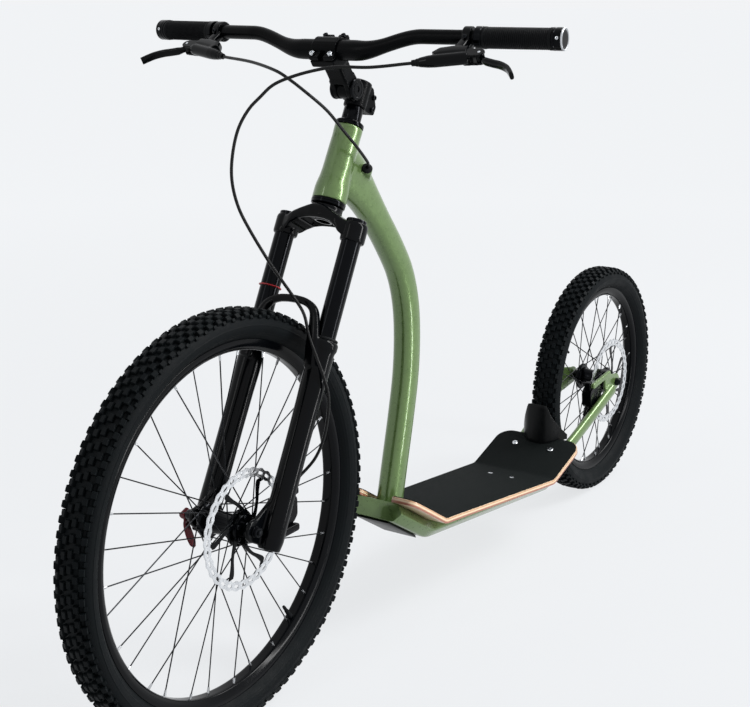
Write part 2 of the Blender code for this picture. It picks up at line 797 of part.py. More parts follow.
def caliper_frame(name, parent, angle):
    """An empty on the rotor's plane whose X points from the axle through the caliper."""
    turn = Matrix.Translation((0, ROTOR_Y, 0)) @ Matrix.Rotation(-angle, 4, "Y")
    return empty(name, turn, parent)


def caliper(name, frame):
    """A caliper body open towards the axle, with two ears and a hose port."""
    half = CALIPER_HALF_LENGTH
    corner = 0.007
    outline = [
        (CALIPER_INNER, -half + corner),
        (CALIPER_INNER + corner, -half),
        (CALIPER_OUTER - corner, -half),
        (CALIPER_OUTER, -half + corner),
    ]
    outline += [(x, -z) for x, z in reversed(outline)]
    made = piece(name, side_prism(outline, -CALIPER_HALF_WIDTH, CALIPER_HALF_WIDTH), frame, BLACK_PAINT)
    reach = half + CALIPER_EAR_LENGTH
    ear = CALIPER_EAR_HALF_WIDTH
    ears = box((CALIPER_EAR_INNER, -ear, -reach), (CALIPER_EAR_OUTER, ear, reach))
    join(made, ears, "ears")
    port = rod(CALIPER_PORT_RADIUS, 0, CALIPER_PORT_LENGTH, steps=SMALL_STEPS)
    join(made, placed(port, CALIPER_PORT_START, CALIPER_PORT_AXIS), "port")
    slot = PAD_THICK + PAD_GAP + ROTOR_THICK / 2 + FIT
    cut(made, box((CALIPER_INNER - corner, -slot, -2 * reach), (CALIPER_SLOT_TOP, slot, 2 * reach)), "slot")
    return made


def pad(name, frame, side):
    """A brake pad beside the rotor, inner face one running gap away from it."""
    near = side * (ROTOR_THICK / 2 + PAD_GAP)
    far = near + side * PAD_THICK
    top = ROTOR_RADIUS
    low = (top - PAD_HEIGHT, min(near, far), -PAD_LENGTH / 2)
    high = (top, max(near, far), PAD_LENGTH / 2)
    piece(name, box(low, high), frame, PAD_STUFF)


def brake(side, frame):
    caliper(f"{side}_caliper", frame)
    pad(f"{side}_pad_outer", frame, 1)
    pad(f"{side}_pad_inner", frame, -1)


def caliper_brackets(dropout_thick, reaches):
    """Posts behind the caliper's ears, drawn in the caliper's own frame."""
    near = CALIPER_EAR_HALF_WIDTH + FIT
    far = DROPOUT_Y + dropout_thick - ROTOR_Y
    start = CALIPER_HALF_LENGTH + 2 * FIT
    end = CALIPER_HALF_LENGTH + CALIPER_EAR_LENGTH
    lower, upper = reaches
    return merged(
        [
            box((lower, near, -end), (CALIPER_EAR_OUTER, far, -start)),
            box((upper, near, start), (CALIPER_EAR_OUTER, far, end)),
        ]
    )


# Fork


def leg_shape(side):
    profile = [
        (0, LEG_FOOT),
        (LEG_RADIUS - 0.0025, LEG_FOOT),
        (LEG_RADIUS - 0.0005, LEG_FOOT + 0.012),
        (LEG_RADIUS - 0.0015, (LEG_FOOT + LEG_TOP) / 2),
        (LEG_RADIUS, LEG_TOP - COLLAR_HEIGHT - 0.04),
        (LEG_RADIUS, LEG_TOP - COLLAR_HEIGHT),
        (COLLAR_RADIUS, LEG_TOP - COLLAR_HEIGHT + 0.002),
        (COLLAR_RADIUS, LEG_TOP),
        (0, LEG_TOP),
    ]
    return placed(staggered(turned(profile)), (LEG_FORWARD, side * LEG_Y, 0))


def fork_dropout(side):
    """A lug that carries the axle in front of the leg's foot."""
    axle = (FORK_RAKE, 0)
    outline = arc(axle, 2 * AXLE_NUT_RADIUS, -100, 80, 10)
    outline += [(LEG_FORWARD + 0.008, 0.055), (LEG_FORWARD - 0.010, 0.050)]
    outline.append((LEG_FORWARD - 0.010, LEG_FOOT + 0.004))
    near = side * DROPOUT_Y
    far = side * (DROPOUT_Y + FORK_DROPOUT_THICK)
    return side_prism(outline, min(near, far), max(near, far))


def arch_shape():
    """The brace over the wheel, from one leg's collar to the other's."""
    leg = [
        (ARCH_FORWARD - 0.002, LEG_Y - 0.0055, LEG_TOP - 0.022),
        (ARCH_FORWARD - 0.0005, LEG_Y - 0.0085, LEG_TOP),
        (ARCH_FORWARD, LEG_Y - 0.013, LEG_TOP + 0.022),
        (ARCH_FORWARD, LEG_Y - 0.0185, ARCH_TOP - 0.0165),
        (ARCH_FORWARD, LEG_Y - 0.0265, ARCH_TOP - 0.008),
        (ARCH_FORWARD, LEG_Y - 0.0395, ARCH_TOP - 0.0022),
    ]
    path = mirrored(leg + [(ARCH_FORWARD, 0, ARCH_TOP)])
    section = block_section(ARCH_DEPTH / 2, ARCH_HEIGHT / 2, 0.003)
    return swept(path, [section] * len(path), reference=(1, 0, 0))


def fork_lowers(steering):
    made = piece("fork_lowers", merged([leg_shape(-1), leg_shape(1)]), steering, BLACK_PAINT)
    join(made, arch_shape(), "arch")
    join(made, merged([fork_dropout(-1), fork_dropout(1)]), "dropouts")
    brackets = caliper_brackets(FORK_DROPOUT_THICK, (0.058, 0.030))
    turn = Matrix.Translation((FORK_RAKE, ROTOR_Y, 0)) @ Matrix.Rotation(-FRONT_CALIPER_ANGLE, 4, "Y")
    join(made, moved(brackets, turn), "brackets")
    bore = STANCHION_RADIUS + RUNNING
    bores = [rod(bore, LEG_BORE_FLOOR, CROWN_BOTTOM, (LEG_FORWARD, side * LEG_Y, 0)) for side in (-1, 1)]
    cut(made, merged(bores), "leg_bores")
    relief = STANCHION_RADIUS + RING_THICK + 0.0008
    reliefs = [rod(relief, LEG_TOP + 0.0002, CROWN_BOTTOM, (LEG_FORWARD, side * LEG_Y, 0)) for side in (-1, 1)]
    cut(made, merged(reliefs), "arch_reliefs")
    far = DROPOUT_Y + LEG_Y
    cut(made, rod(AXLE_RADIUS + FIT, -far, far, (FORK_RAKE, 0, 0), (0, 1, 0), ROUND_STEPS), "axle_hole")


def crown_bridge():
    """The arched middle of the crown, low at the legs and high at the steerer."""
    stations = (
        (LEG_Y, CROWN_BOTTOM + 0.004, CROWN_TOP - 0.008, -0.012, 0.0215),
        (LEG_Y * 0.77, CROWN_BOTTOM + 0.006, CROWN_TOP - 0.005, -0.018, 0.0285),
        (LEG_Y * 0.65, CROWN_CENTRE_BOTTOM - 0.0115, CROWN_TOP - 0.001, -0.022, 0.030),
        (LEG_Y * 0.46, CROWN_CENTRE_BOTTOM - 0.004, CROWN_CENTRE_TOP - 0.012, -0.025, 0.031),
        (LEG_Y * 0.28, CROWN_CENTRE_BOTTOM - 0.001, CROWN_CENTRE_TOP - 0.0075, -0.027, 0.032),
        (0, CROWN_CENTRE_BOTTOM, CROWN_CENTRE_TOP - 0.0035, -0.028, 0.033),
    )
    corner = 0.006
    rings = []
    order = [(1, row) for row in stations] + [(-1, row) for row in reversed(stations[:-1])]
    for side, (y, low, high, back, front) in order:
        outline = [
            (back, low + corner),
            (back + corner, low),
            (front - corner, low),
            (front, low + corner),
            (front, high - corner),
            (front - corner, high),
            (back + corner, high),
            (back, high - corner),
        ]
        rings.append([(x, side * y, z) for x, z in outline])
    return loft(rings)


def fork_crown(steering):
    block = [
        (0, CROWN_BOTTOM),
        (CROWN_BLOCK_RADIUS - 0.002, CROWN_BOTTOM),
        (CROWN_BLOCK_RADIUS, CROWN_BOTTOM + 0.004),
        (CROWN_BLOCK_RADIUS, CROWN_TOP - 0.006),
        (CROWN_BLOCK_RADIUS - 0.005, CROWN_TOP),
        (0, CROWN_TOP),
    ]
    blocks = [placed(staggered(turned(block)), (LEG_FORWARD, side * LEG_Y, 0)) for side in (-1, 1)]
    made = piece("fork_crown", merged(blocks), steering, BLACK_PAINT)
    join(made, crown_bridge(), "bridge")
    race = rod(HEAD_TUBE_LOW_RADIUS - 0.002, CROWN_CENTRE_BOTTOM + 0.001, CROWN_CENTRE_TOP)
    join(made, staggered(race), "race")
    seat = STANCHION_RADIUS + FIT
    top = CROWN_TOP - 0.004
    sockets = [rod(seat, CROWN_BOTTOM - 0.01, top, (LEG_FORWARD, side * LEG_Y, 0)) for side in (-1, 1)]
    cut(made, merged(sockets), "sockets")
    cut(made, rod(STEERER_RADIUS + FIT, CROWN_BOTTOM, HEAD_TUBE_BOTTOM), "steerer_hole")


def stanchions(steering):
    top = CROWN_TOP - 0.004 - FIT
    for side, word in ((1, "left"), (-1, "right")):
        tube = ring(STANCHION_RADIUS - STANCHION_WALL, STANCHION_RADIUS, STANCHION_BOTTOM, top)
        piece(f"stanchion_{word}", placed(tube, (LEG_FORWARD, side * LEG_Y, 0)), steering, BLACK_METAL)


def leg_rod(name, side, steering):
    """A rod standing on the leg's floor, with its piston inside the stanchion."""
    foot = LEG_BORE_FLOOR + FIT
    top = STANCHION_BOTTOM + FORK_TRAVEL
    piston = STANCHION_RADIUS - STANCHION_WALL - RUNNING
    profile = [
        (0, foot),
        (ROD_RADIUS, foot),
        (ROD_RADIUS, top - PISTON_LENGTH),
        (piston, top - PISTON_LENGTH),
        (piston, top),
        (0, top),
    ]
    piece(name, placed(turned(profile), (LEG_FORWARD, side * LEG_Y, 0)), steering, STEEL)


def travel_ring(steering):
    bore = STANCHION_RADIUS + FIT
    middle = LEG_TOP + RING_OVER_LEG
    shape = ring(bore, bore + RING_THICK, middle - RING_THICK / 2, middle + RING_THICK / 2)
    piece("travel_o_ring", placed(shape, (LEG_FORWARD, -LEG_Y, 0)), steering, DARK_RED)


def headset(scooter):
    """A ring at each end of the head tube, with the bearing that goes up or down its bore."""
    bore = STEERER_RADIUS + RUNNING
    insert = HEAD_BORE_RADIUS - FIT
    for word, end, sign, radius in (
        ("lower", HEAD_TUBE_BOTTOM, -1, HEAD_TUBE_LOW_RADIUS),
        ("upper", HEAD_TUBE_TOP, 1, HEAD_TUBE_HIGH_RADIUS),
    ):
        face = end + sign * FIT
        far = face + sign * (HEADSET_RING if sign < 0 else HEADSET_RING - 0.001)
        deep = face - sign * HEADSET_DEPTH
        profile = [(bore, deep), (insert, deep), (insert, face), (radius, face)]
        profile += [(radius - 0.0005, far), (bore, far)]
        piece(f"headset_{word}", moved(turned(profile), STEERING), scooter, BLACK_METAL)


def steerer(steering):
    low = CROWN_CENTRE_BOTTOM + 0.001
    high = STEM_BASE_TOP - 0.002
    tube = ring(STEERER_RADIUS - STEERER_WALL, STEERER_RADIUS, low, high)
    piece("steerer_tube", tube, steering, BLACK_METAL)


# Front axle and its quick lever


def front_axle(front_centre):
    shape = axle_shape(FORK_DROPOUT_THICK, (AXLE_NUT_LENGTH, AXLE_STUB), (AXLE_HEAD_LENGTH, 0))
    piece("front_axle", shape, front_centre, BLACK_METAL)


def quick_lever(front_centre):
    """A cam with a paddle on the axle's right end: Z along the cam pin, X down the paddle, Y outwards."""
    away = DROPOUT_Y + FORK_DROPOUT_THICK + FIT + AXLE_HEAD_LENGTH + FIT + CAM_RADIUS
    turn = Matrix.Rotation(-QUICK_LEVER_ANGLE, 4, "Y") @ Matrix.Rotation(math.pi, 4, "X")
    hinge = empty("quick_lever_axis", Matrix.Translation((0, -away, 0)) @ turn, front_centre)
    cam = rod(CAM_RADIUS, -0.008, 0.008, steps=SMALL_STEPS)
    made = piece("front_axle_lever", cam, hinge, DARK_RED)
    path = [(0, 0, 0), (0.011, 0.001, 0), (0.019, 0.0045, 0), (0.045, 0.0065, 0), (0.070, 0.0045, 0)]
    widths = (0.0055, 0.0055, 0.006, 0.0075, 0.006)
    sections = [block_section(width, 0.0021, 0.0008) for width in widths]
    join(made, swept(path, sections, reference=(0, 0, 1)), "paddle")


# Stem


def stem_base(steering):
    collar = staggered(rod(STEM_BASE_RADIUS, STEM_BASE_BOTTOM, STEM_BASE_TOP))
    made = piece("stem_base", collar, steering, BLACK_METAL)
    lug = [
        (-0.010, STEM_BASE_BOTTOM + 0.001),
        (-0.042, STEM_BASE_BOTTOM + 0.003),
        (-0.042, STEM_BASE_BOTTOM + 0.018),
        (-0.022, STEM_BASE_TOP - 0.001),
        (-0.010, STEM_BASE_TOP - 0.001),
    ]
    join(made, side_prism(lug, -0.012, 0.012), "clamp_lug")
    pivot = (STEM_PIVOT_FORWARD, STEM_PIVOT_HEIGHT)
    tongue = arc(pivot, STEM_PIVOT_RADIUS - 0.001, -110, 110, 12)
    tongue += [(0.010, STEM_PIVOT_HEIGHT + 0.014), (0.010, STEM_PIVOT_HEIGHT - 0.014)]
    join(made, side_prism(tongue, -STEM_TONGUE_HALF, STEM_TONGUE_HALF), "tongue")
    cut(made, rod(STEERER_RADIUS + FIT, STEM_BASE_BOTTOM - 0.01, STEM_BASE_TOP + 0.01), "steerer_bore")
    slot_half = 0.001
    slot = box((-0.050, -slot_half, STEM_BASE_BOTTOM - 0.01), (-0.010, slot_half, STEM_BASE_TOP + 0.01))
    cut(made, slot, "clamp_slot")
    place = (STEM_PIVOT_FORWARD, 0, STEM_PIVOT_HEIGHT)
    shank = rod(PIVOT_SHANK_RADIUS + FIT, -BAR_CLAMP_HALF, BAR_CLAMP_HALF, place, (0, 1, 0))
    cut(made, shank, "pivot_bore")
    return made


def stem_arm(arm):
    """Two cheeks on the pivot, the arm ahead of them and the back half of the bar clamp."""
    inner = STEM_TONGUE_HALF + FIT
    body_start = STEM_PIVOT_RADIUS + 0.002
    stations = (
        (body_start, STEM_CHEEK_HALF, 0.0135),
        (STEM_LENGTH * 0.5, STEM_CHEEK_HALF - 0.001, 0.0130),
        (STEM_LENGTH - 0.014, BAR_CLAMP_HALF - 0.002, 0.0150),
    )
    path = [(x, 0, 0) for x, _, _ in stations]
    sections = [block_section(half_width, half_height, 0.003) for _, half_width, half_height in stations]
    made = piece("stem_arm", swept(path, sections), arm, BLACK_METAL)
    cheek = arc((0, 0), STEM_PIVOT_RADIUS, 60, 300, 14)
    cheek += [(body_start + 0.006, -0.0125), (body_start + 0.006, 0.0125)]
    spans = ((-STEM_CHEEK_HALF, -inner), (inner, STEM_CHEEK_HALF))
    join(made, merged([side_prism(cheek, low, high) for low, high in spans]), "cheeks")
    split = STEM_LENGTH - FIT * 2
    top = BAR_CLAMP_HEIGHT
    block = [
        (STEM_LENGTH - 0.022, -0.0135),
        (STEM_LENGTH - 0.0125, -top),
        (split, -top),
        (split, top),
        (STEM_LENGTH - 0.0125, top),
        (STEM_LENGTH - 0.022, 0.0135),
    ]
    join(made, side_prism(block, -BAR_CLAMP_HALF, BAR_CLAMP_HALF), "clamp_block")
    cut(made, bar_bore(), "bar_bore")
    shank = rod(PIVOT_SHANK_RADIUS + FIT, -BAR_CLAMP_HALF, BAR_CLAMP_HALF, axis=(0, 1, 0))
    cut(made, shank, "pivot_bore")
    cut(made, faceplate_bolt_holes(), "bolt_holes")
    return made


def bar_bore():
    return rod(BAR_RADIUS + FIT, -0.04, 0.04, (STEM_LENGTH, 0, 0), (0, 1, 0))


def faceplate_bolt_places():
    return [
        (side * FACEPLATE_BOLT_Y, level * FACEPLATE_BOLT_Z, f"{word}_{edge}")
        for level, word in ((1, "upper"), (-1, "lower"))
        for side, edge in ((1, "left"), (-1, "right"))
    ]


def faceplate_bolt_holes():
    start = STEM_LENGTH + BAR_CLAMP_LUG - BOLT_SHANK_LENGTH - FIT
    end = STEM_LENGTH + BAR_CLAMP_LUG + 0.002
    return merged(
        [
            rod(BOLT_SHANK_RADIUS + FIT, start, end, (0, y, z), (1, 0, 0), SMALL_STEPS)
            for y, z, _ in faceplate_bolt_places()
        ]
    )


def stem_faceplate(arm):
    face = STEM_LENGTH + FIT * 2
    lug = STEM_LENGTH + BAR_CLAMP_LUG
    front = STEM_LENGTH + BAR_RADIUS + BAR_CLAMP_WALL
    top = BAR_CLAMP_HEIGHT
    half = [(face, top), (lug, top), (lug, FACEPLATE_BOLT_Z - 0.0052), (front, 0.0095)]
    outline = half + [(x, -z) for x, z in reversed(half)]
    made = piece("stem_faceplate", side_prism(outline, -BAR_CLAMP_HALF, BAR_CLAMP_HALF), arm, BLACK_METAL)
    cut(made, bar_bore(), "bar_bore")
    cut(made, faceplate_bolt_holes(), "bolt_holes")
    return made


def faceplate_bolts(arm):
    seat = STEM_LENGTH + BAR_CLAMP_LUG + FIT
    profile = [
        (0, seat - BOLT_SHANK_LENGTH),
        (BOLT_SHANK_RADIUS, seat - BOLT_SHANK_LENGTH),
        (BOLT_SHANK_RADIUS, seat),
        (BOLT_HEAD_RADIUS, seat),
        (BOLT_HEAD_RADIUS, seat + BOLT_HEAD_HEIGHT),
        (0, seat + BOLT_HEAD_HEIGHT),
    ]
    for y, z, word in faceplate_bolt_places():
        shape = placed(turned(profile, SMALL_STEPS), (0, y, z), (1, 0, 0))
        piece(f"faceplate_bolt_{word}", shape, arm, BRIGHT_METAL if "lower" in word else BLACK_METAL)


def stem_pivot_bolt(arm):
    """The pivot's shank with a round cover at each end."""
    seat = STEM_CHEEK_HALF + FIT
    far = seat + PIVOT_DISC_THICK
    half = [
        (PIVOT_SHANK_RADIUS, seat),
        (PIVOT_DISC_RADIUS, seat),
        (PIVOT_DISC_RADIUS, far - 0.001),
        (PIVOT_DISC_RADIUS - 0.001, far),
        (0, far),
    ]
    profile = [(radius, -y) for radius, y in reversed(half)] + half
    piece("stem_pivot_bolt", moved(turned(profile), Y_FROM_Z), arm, BLACK_METAL)


# Handlebar


def bar_place(y):
    """The bar's centre line at this distance to the left of its middle."""
    away = abs(y)
    share = min(1, max(0, (away - BAR_BEND_START) / (BAR_BEND_END - BAR_BEND_START)))
    bend = share * share * (3 - 2 * share)
    sweep = max(0, away - BAR_BEND_END) * math.tan(BAR_SWEEP)
    return Vector((-BAR_BEND_BACK * bend - sweep, y, BAR_RISE * bend))


def bar_radius(y):
    share = min(1, max(0, (abs(y) - BAR_CENTRE_HALF) / (BAR_TAPER_END - BAR_CENTRE_HALF)))
    return BAR_RADIUS + (BAR_END_RADIUS - BAR_RADIUS) * share


def handlebar(bar):
    span = BAR_BEND_END - BAR_BEND_START
    half = [0, BAR_CENTRE_HALF, BAR_BEND_START]
    half += [BAR_BEND_START + span * share for share in (0.2, 0.4, 0.6, 0.8, 1)]
    half += [LEVER_CLAMP_Y, BAR_HALF]
    stations = [-y for y in reversed(half) if y] + half
    path = [bar_place(y) for y in stations]

    def rings(wall):
        radii = [bar_radius(y) - wall for y in stations]
        return path_rings(path, [oval(radius, radius, BAR_SIDES) for radius in radii], (1, 0, 0))

    piece("handlebar", loft(rings(0) + rings(BAR_WALL)[::-1], looped=True), bar, BLACK_PAINT)


def grip_frame(side):
    """A matrix that puts Z outwards along the straight end of the bar, with Z = 0 where the bend ends."""
    start = bar_place(side * BAR_BEND_END)
    outward = bar_place(side * BAR_HALF) - start
    turn = Vector((0, 0, 1)).rotation_difference(outward).to_matrix().to_4x4()
    return Matrix.Translation(start) @ turn


def along_grip(y):
    return (y - BAR_BEND_END) / math.cos(BAR_SWEEP)


def grips(bar):
    bore = BAR_END_RADIUS + FIT
    low = along_grip(GRIP_INNER_Y)
    high = along_grip(GRIP_OUTER_Y)
    bar_end = along_grip(BAR_HALF)
    for side, word, finish in ((1, "left", BRIGHT_METAL), (-1, "right", BLACK_METAL)):
        grip = ring(bore, GRIP_RADIUS, low, high)
        piece(f"grip_{word}", moved(grip, grip_frame(side)), bar, RUBBER)
        start = high + FIT
        end = start + LOCK_RING_LENGTH
        profile = [
            (bore, start),
            (LOCK_RING_RADIUS, start),
            (LOCK_RING_RADIUS, end - 0.001),
            (LOCK_RING_RADIUS - 0.001, end),
            (0, end),
            (0, max(end - LOCK_RING_CAP, bar_end + FIT)),
            (bore, max(end - LOCK_RING_CAP, bar_end + FIT)),
        ]
        piece(f"bar_end_ring_{word}", moved(turned_plug(profile), grip_frame(side)), bar, finish)


def turned_plug(profile):
    """A cap with a blind bore: the profile starts off the axis, crosses it and comes back."""
    crossing = next(i for i, (radius, _) in enumerate(profile) if radius == 0)
    return turned(profile[crossing + 1 :] + profile[: crossing + 1])


# Levers


def lever_matrix(side):
    """The lever's frame under the bar: Z along its pin, X forward and down, Y to the left."""
    pivot = Vector((LEVER_PIVOT.x, side * LEVER_PIVOT.y, LEVER_PIVOT.z))
    return Matrix.Translation(pivot) @ Matrix.Rotation(LEVER_TILT, 4, "Y")


def sided(point, side):
    return Vector((point[0], side * point[1], point[2]))


def lever_body(side, word, bar):
    """Bar clamp, neck, master cylinder, hose port and the two ears round the blade."""
    half = LEVER_CLAMP_WIDTH / 2
    middle = along_grip(LEVER_CLAMP_Y)
    clamp = moved(staggered(rod(LEVER_CLAMP_RADIUS, middle - half, middle + half)), grip_frame(side))
    made = piece(f"lever_body_{word}", clamp, bar, BLACK_PAINT)
    matrix = lever_matrix(side)
    clamp_centre = matrix.inverted() @ (grip_frame(side) @ Vector((0, 0, middle)))
    start = sided(LEVER_BODY_START, side)
    end = sided(LEVER_BODY_END, side)
    run = end - start
    share = (clamp_centre.y - start.y) / run.y
    meets = start + run * share
    neck_section = block_section(0.008, 0.007, 0.002)
    neck = swept([clamp_centre, meets], [neck_section] * 2)
    join(made, moved(neck, matrix), "neck")
    port_end = run.length + LEVER_PORT_LENGTH
    profile = [
        (0, 0),
        (LEVER_BODY_RADIUS - 0.002, 0),
        (LEVER_BODY_RADIUS, 0.003),
        (LEVER_BODY_RADIUS, run.length - 0.004),
        (LEVER_PORT_RADIUS, run.length),
        (LEVER_PORT_RADIUS, port_end),
        (0, port_end),
    ]
    join(made, moved(placed(turned(profile, TUBE_SIDES), start, run), matrix), "cylinder")
    gap = BLADE_HALF_WIDTH + FIT
    back = start.y - side * 0.006
    outline = [(x, side * y) for x, y in arc((0, 0), LEVER_EAR_RADIUS, 180, 0, 8)]
    outline += [(LEVER_EAR_RADIUS + 0.003, back), (-LEVER_EAR_RADIUS, back)]
    levels = ((gap, gap + LEVER_EAR_THICK), (-gap - LEVER_EAR_THICK, -gap))
    ears = [plan_prism(outline, low, high) for low, high in levels]
    join(made, moved(merged(ears), matrix), "ears")
    cut(made, moved(rod(BAR_END_RADIUS + FIT, 0, 2 * middle), grip_frame(side)), "bar_bore")
    pin_reach = gap + LEVER_EAR_THICK + 0.002
    pin_hole = rod(LEVER_PIN_RADIUS + FIT, -pin_reach, pin_reach, steps=SMALL_STEPS)
    cut(made, moved(pin_hole, matrix), "pin_hole")


def lever_blade(side, word, frame):
    """A curved blade with a boss on the pin and a hooked tip."""
    made = piece(
        f"lever_blade_{word}",
        rod(BLADE_BOSS_RADIUS, -BLADE_HALF_WIDTH, BLADE_HALF_WIDTH, steps=TUBE_SIDES),
        frame,
        BLACK_PAINT,
    )
    path = [(x, side * y, 0) for x, y, _ in BLADE_ROUTE]
    sections = [block_section(BLADE_HALF_WIDTH - 0.0002, half, 0.0012) for _, _, half in BLADE_ROUTE]
    join(made, swept(path, sections, reference=(0, 0, 1)), "blade")
    cut(made, rod(LEVER_PIN_RADIUS + RUNNING, -0.02, 0.02, steps=SMALL_STEPS), "pin_hole")


def lever_pin(side, word, bar):
    reach = BLADE_HALF_WIDTH + FIT + LEVER_EAR_THICK
    shape = rod(LEVER_PIN_RADIUS, -reach, reach, steps=SMALL_STEPS)
    piece(f"lever_pin_{word}", moved(shape, lever_matrix(side)), bar, STEEL)


# Frame


def deck_top(x):
    """Height of the deck's top surface, grip sheet included, at a station."""
    flat = DECK_REFERENCE.y + DECK_SLOPE * (x - DECK_REFERENCE.x)
    if x > NOSE_KICK_X:
        kick = DECK_REFERENCE.y + DECK_SLOPE * (NOSE_KICK_X - DECK_REFERENCE.x)
        return kick + NOSE_KICK_SLOPE * (x - NOSE_KICK_X)
    if x < TAIL_KICK_X:
        kick = DECK_REFERENCE.y + DECK_SLOPE * (TAIL_KICK_X - DECK_REFERENCE.x)
        return kick + TAIL_KICK_SLOPE * (TAIL_KICK_X - x)
    return flat


def deck_line(ends, depth):
    """Points of the deck's profile at this depth square below its top, from tail to nose."""
    back, front = ends
    slopes = (-TAIL_KICK_SLOPE, DECK_SLOPE, NOSE_KICK_SLOPE)
    kicks = (TAIL_KICK_X, NOSE_KICK_X)
    stops = [back] + [x for x in kicks if back < x < front] + [front]
    points = []
    for x in stops:
        before = slopes[sum(x > kick for kick in kicks)]
        after = slopes[sum(x >= kick for kick in kicks)]
        lean = (math.atan(before) + math.atan(after)) / 2
        bend = (math.atan(after) - math.atan(before)) / 2
        reach = depth / math.cos(bend)
        points.append((x + reach * math.sin(lean), deck_top(x) - reach * math.cos(lean)))
    return points


def deck_band(top_depth, bottom_depth, half_width):
    """A bent slab across the deck between two depths below its top surface."""
    ends = (TAIL_END_X - 0.02, NOSE_END_X + 0.02)
    outline = deck_line(ends, top_depth) + deck_line(ends, bottom_depth)[::-1]
    return side_prism(outline, -half_width, half_width)


def deck_outline(inset):
    """The board in plan: wide rounded tail, rounded nose, and a notch round the main tube."""
    nose = NOSE_END_X - inset
    tail = TAIL_END_X + inset
    nose_half = DECK_NOSE_HALF - inset
    tail_half = DECK_TAIL_HALF - inset
    notch = NOTCH_HALF + inset
    notch_back = NOTCH_BACK_X - inset
    nose_corner = NOSE_CORNER_RADIUS
    prong = 0.010
    half = [(notch_back, 0.6 * notch), (notch_back + 0.4 * notch, notch)]
    half += arc((nose - prong, notch + prong), prong, 270, 360, 3)
    half += arc((nose - nose_corner, nose_half - nose_corner), nose_corner, 0, 90, 4)
    half += [(TAIL_KICK_X, tail_half)]
    half += arc((tail + TAIL_CORNER_RADIUS, tail_half - TAIL_CORNER_RADIUS), TAIL_CORNER_RADIUS, 90, 180, 5)
    return half + [(x, -y) for x, y in reversed(half)]


def bent_sheet(name, scooter, top_depth, bottom_depth, inset, finish):
    made = piece(name, deck_band(top_depth, bottom_depth, DECK_TAIL_HALF + 0.02), scooter, finish)
    combine(made, plan_prism(deck_outline(inset), 0, GUARD_TOP + 0.1), "outline", "INTERSECT")
    cut(made, deck_bolt_holes(), "bolt_holes")
    return made


def deck_bolts():
    """Name, place on the deck's top and the direction out of it, for each of the deck's bolts."""
    found = []
    for word, bolt, slope in (("mid", MID_BOLT, DECK_SLOPE), ("tail", TAIL_BOLT, -TAIL_KICK_SLOPE)):
        for side, edge in ((1, "left"), (-1, "right")):
            place = Vector((bolt.x, side * bolt.y, deck_top(bolt.x)))
            found.append((f"deck_bolt_{word}_{edge}", place, Vector((-slope, 0, 1)).normalized()))
    return found


def deck_bolt_sides(name, clearance):
    """Half a deck bolt below the deck's top: its shank, and the flat head of one sunk into the board."""
    shank = DECK_BOLT_RADIUS + clearance
    below = -DECK_BOLT_LENGTH - 2 * clearance
    sides = [(0, below), (shank, below)]
    if "mid" in name:
        head = FLUSH_HEAD_RADIUS + clearance
        seat = -FLUSH_HEAD_DEPTH - FLUSH_HEAD_HEIGHT - clearance
        sides += [(shank, seat), (head, seat)]
    return sides


def deck_bolt_holes():
    """Cutters for the bolts' holes, each drawn out past the deck's top."""
    holes = []
    top = BOLT_DOME_HEIGHT + DECK_THICK
    for name, place, up in deck_bolts():
        sides = deck_bolt_sides(name, FIT)
        cutter = turned(sides + [(sides[-1][0], top), (0, top)], SMALL_STEPS)
        holes.append(placed(cutter, place, up))
    return merged(holes)


def deck_bolt_pieces(scooter):
    """Flat heads sunk into the board in the middle, domes standing on the tail."""
    flat = [(FLUSH_HEAD_RADIUS, -FLUSH_HEAD_DEPTH), (0, -FLUSH_HEAD_DEPTH)]
    dome = [(DECK_BOLT_RADIUS, FIT), (BOLT_DOME_RADIUS, FIT)]
    dome += [(0.77 * BOLT_DOME_RADIUS, 0.83 * BOLT_DOME_HEIGHT), (0, BOLT_DOME_HEIGHT)]
    for name, place, up in deck_bolts():
        profile = deck_bolt_sides(name, 0) + (flat if "mid" in name else dome)
        piece(name, placed(turned(profile, SMALL_STEPS), place, up), scooter, BRIGHT_METAL)


def beam_section(shrink=0.0):
    half = BEAM_WIDTH / 2 - shrink
    flat = BEAM_FLAT / 2 - shrink * 0.4
    height = BEAM_HEIGHT / 2 - shrink
    return [(half, 0), (flat, height), (-flat, height), (-half, 0), (-flat, -height), (flat, -height)]


def beam_path(rear_cut, front_cut):
    depth = GRIP_SHEET_THICK + FIT + DECK_THICK + FIT + BEAM_HEIGHT / 2
    kick = deck_line((TAIL_KICK_X + 0.01, NOSE_END_X - 0.006 - front_cut), depth)
    rear_x = BEAM_REAR_X + rear_cut
    rear_z = kick[0][1] + DECK_SLOPE * (rear_x - kick[0][0])
    return [(rear_x, 0, rear_z)] + [(x, 0, z) for x, z in kick[1:]]


def stay_path(side):
    """The rear stay's centre line, close under the tail and then up to the axle."""
    depth = GRIP_SHEET_THICK + FIT + DECK_THICK + FIT + STAY_HEIGHT / 2
    under_tail = deck_line((TAIL_END_X, TAIL_KICK_X - 0.016), depth)
    (back_x, back_z), (front_x, front_z) = under_tail
    end_z = REAR_TYRE_RADIUS - 0.0085
    return [
        (front_x + 0.010, side * 0.026, front_z - 0.006),
        (front_x - 0.020, side * 0.0345, front_z + 0.020 * TAIL_KICK_SLOPE),
        (back_x, side * 0.053, back_z),
        (0.5 * (back_x + STAY_END_X), side * 0.0575, 0.5 * (back_z + end_z) - 0.001),
        (STAY_END_X, side * STAY_END_Y, end_z),
    ]


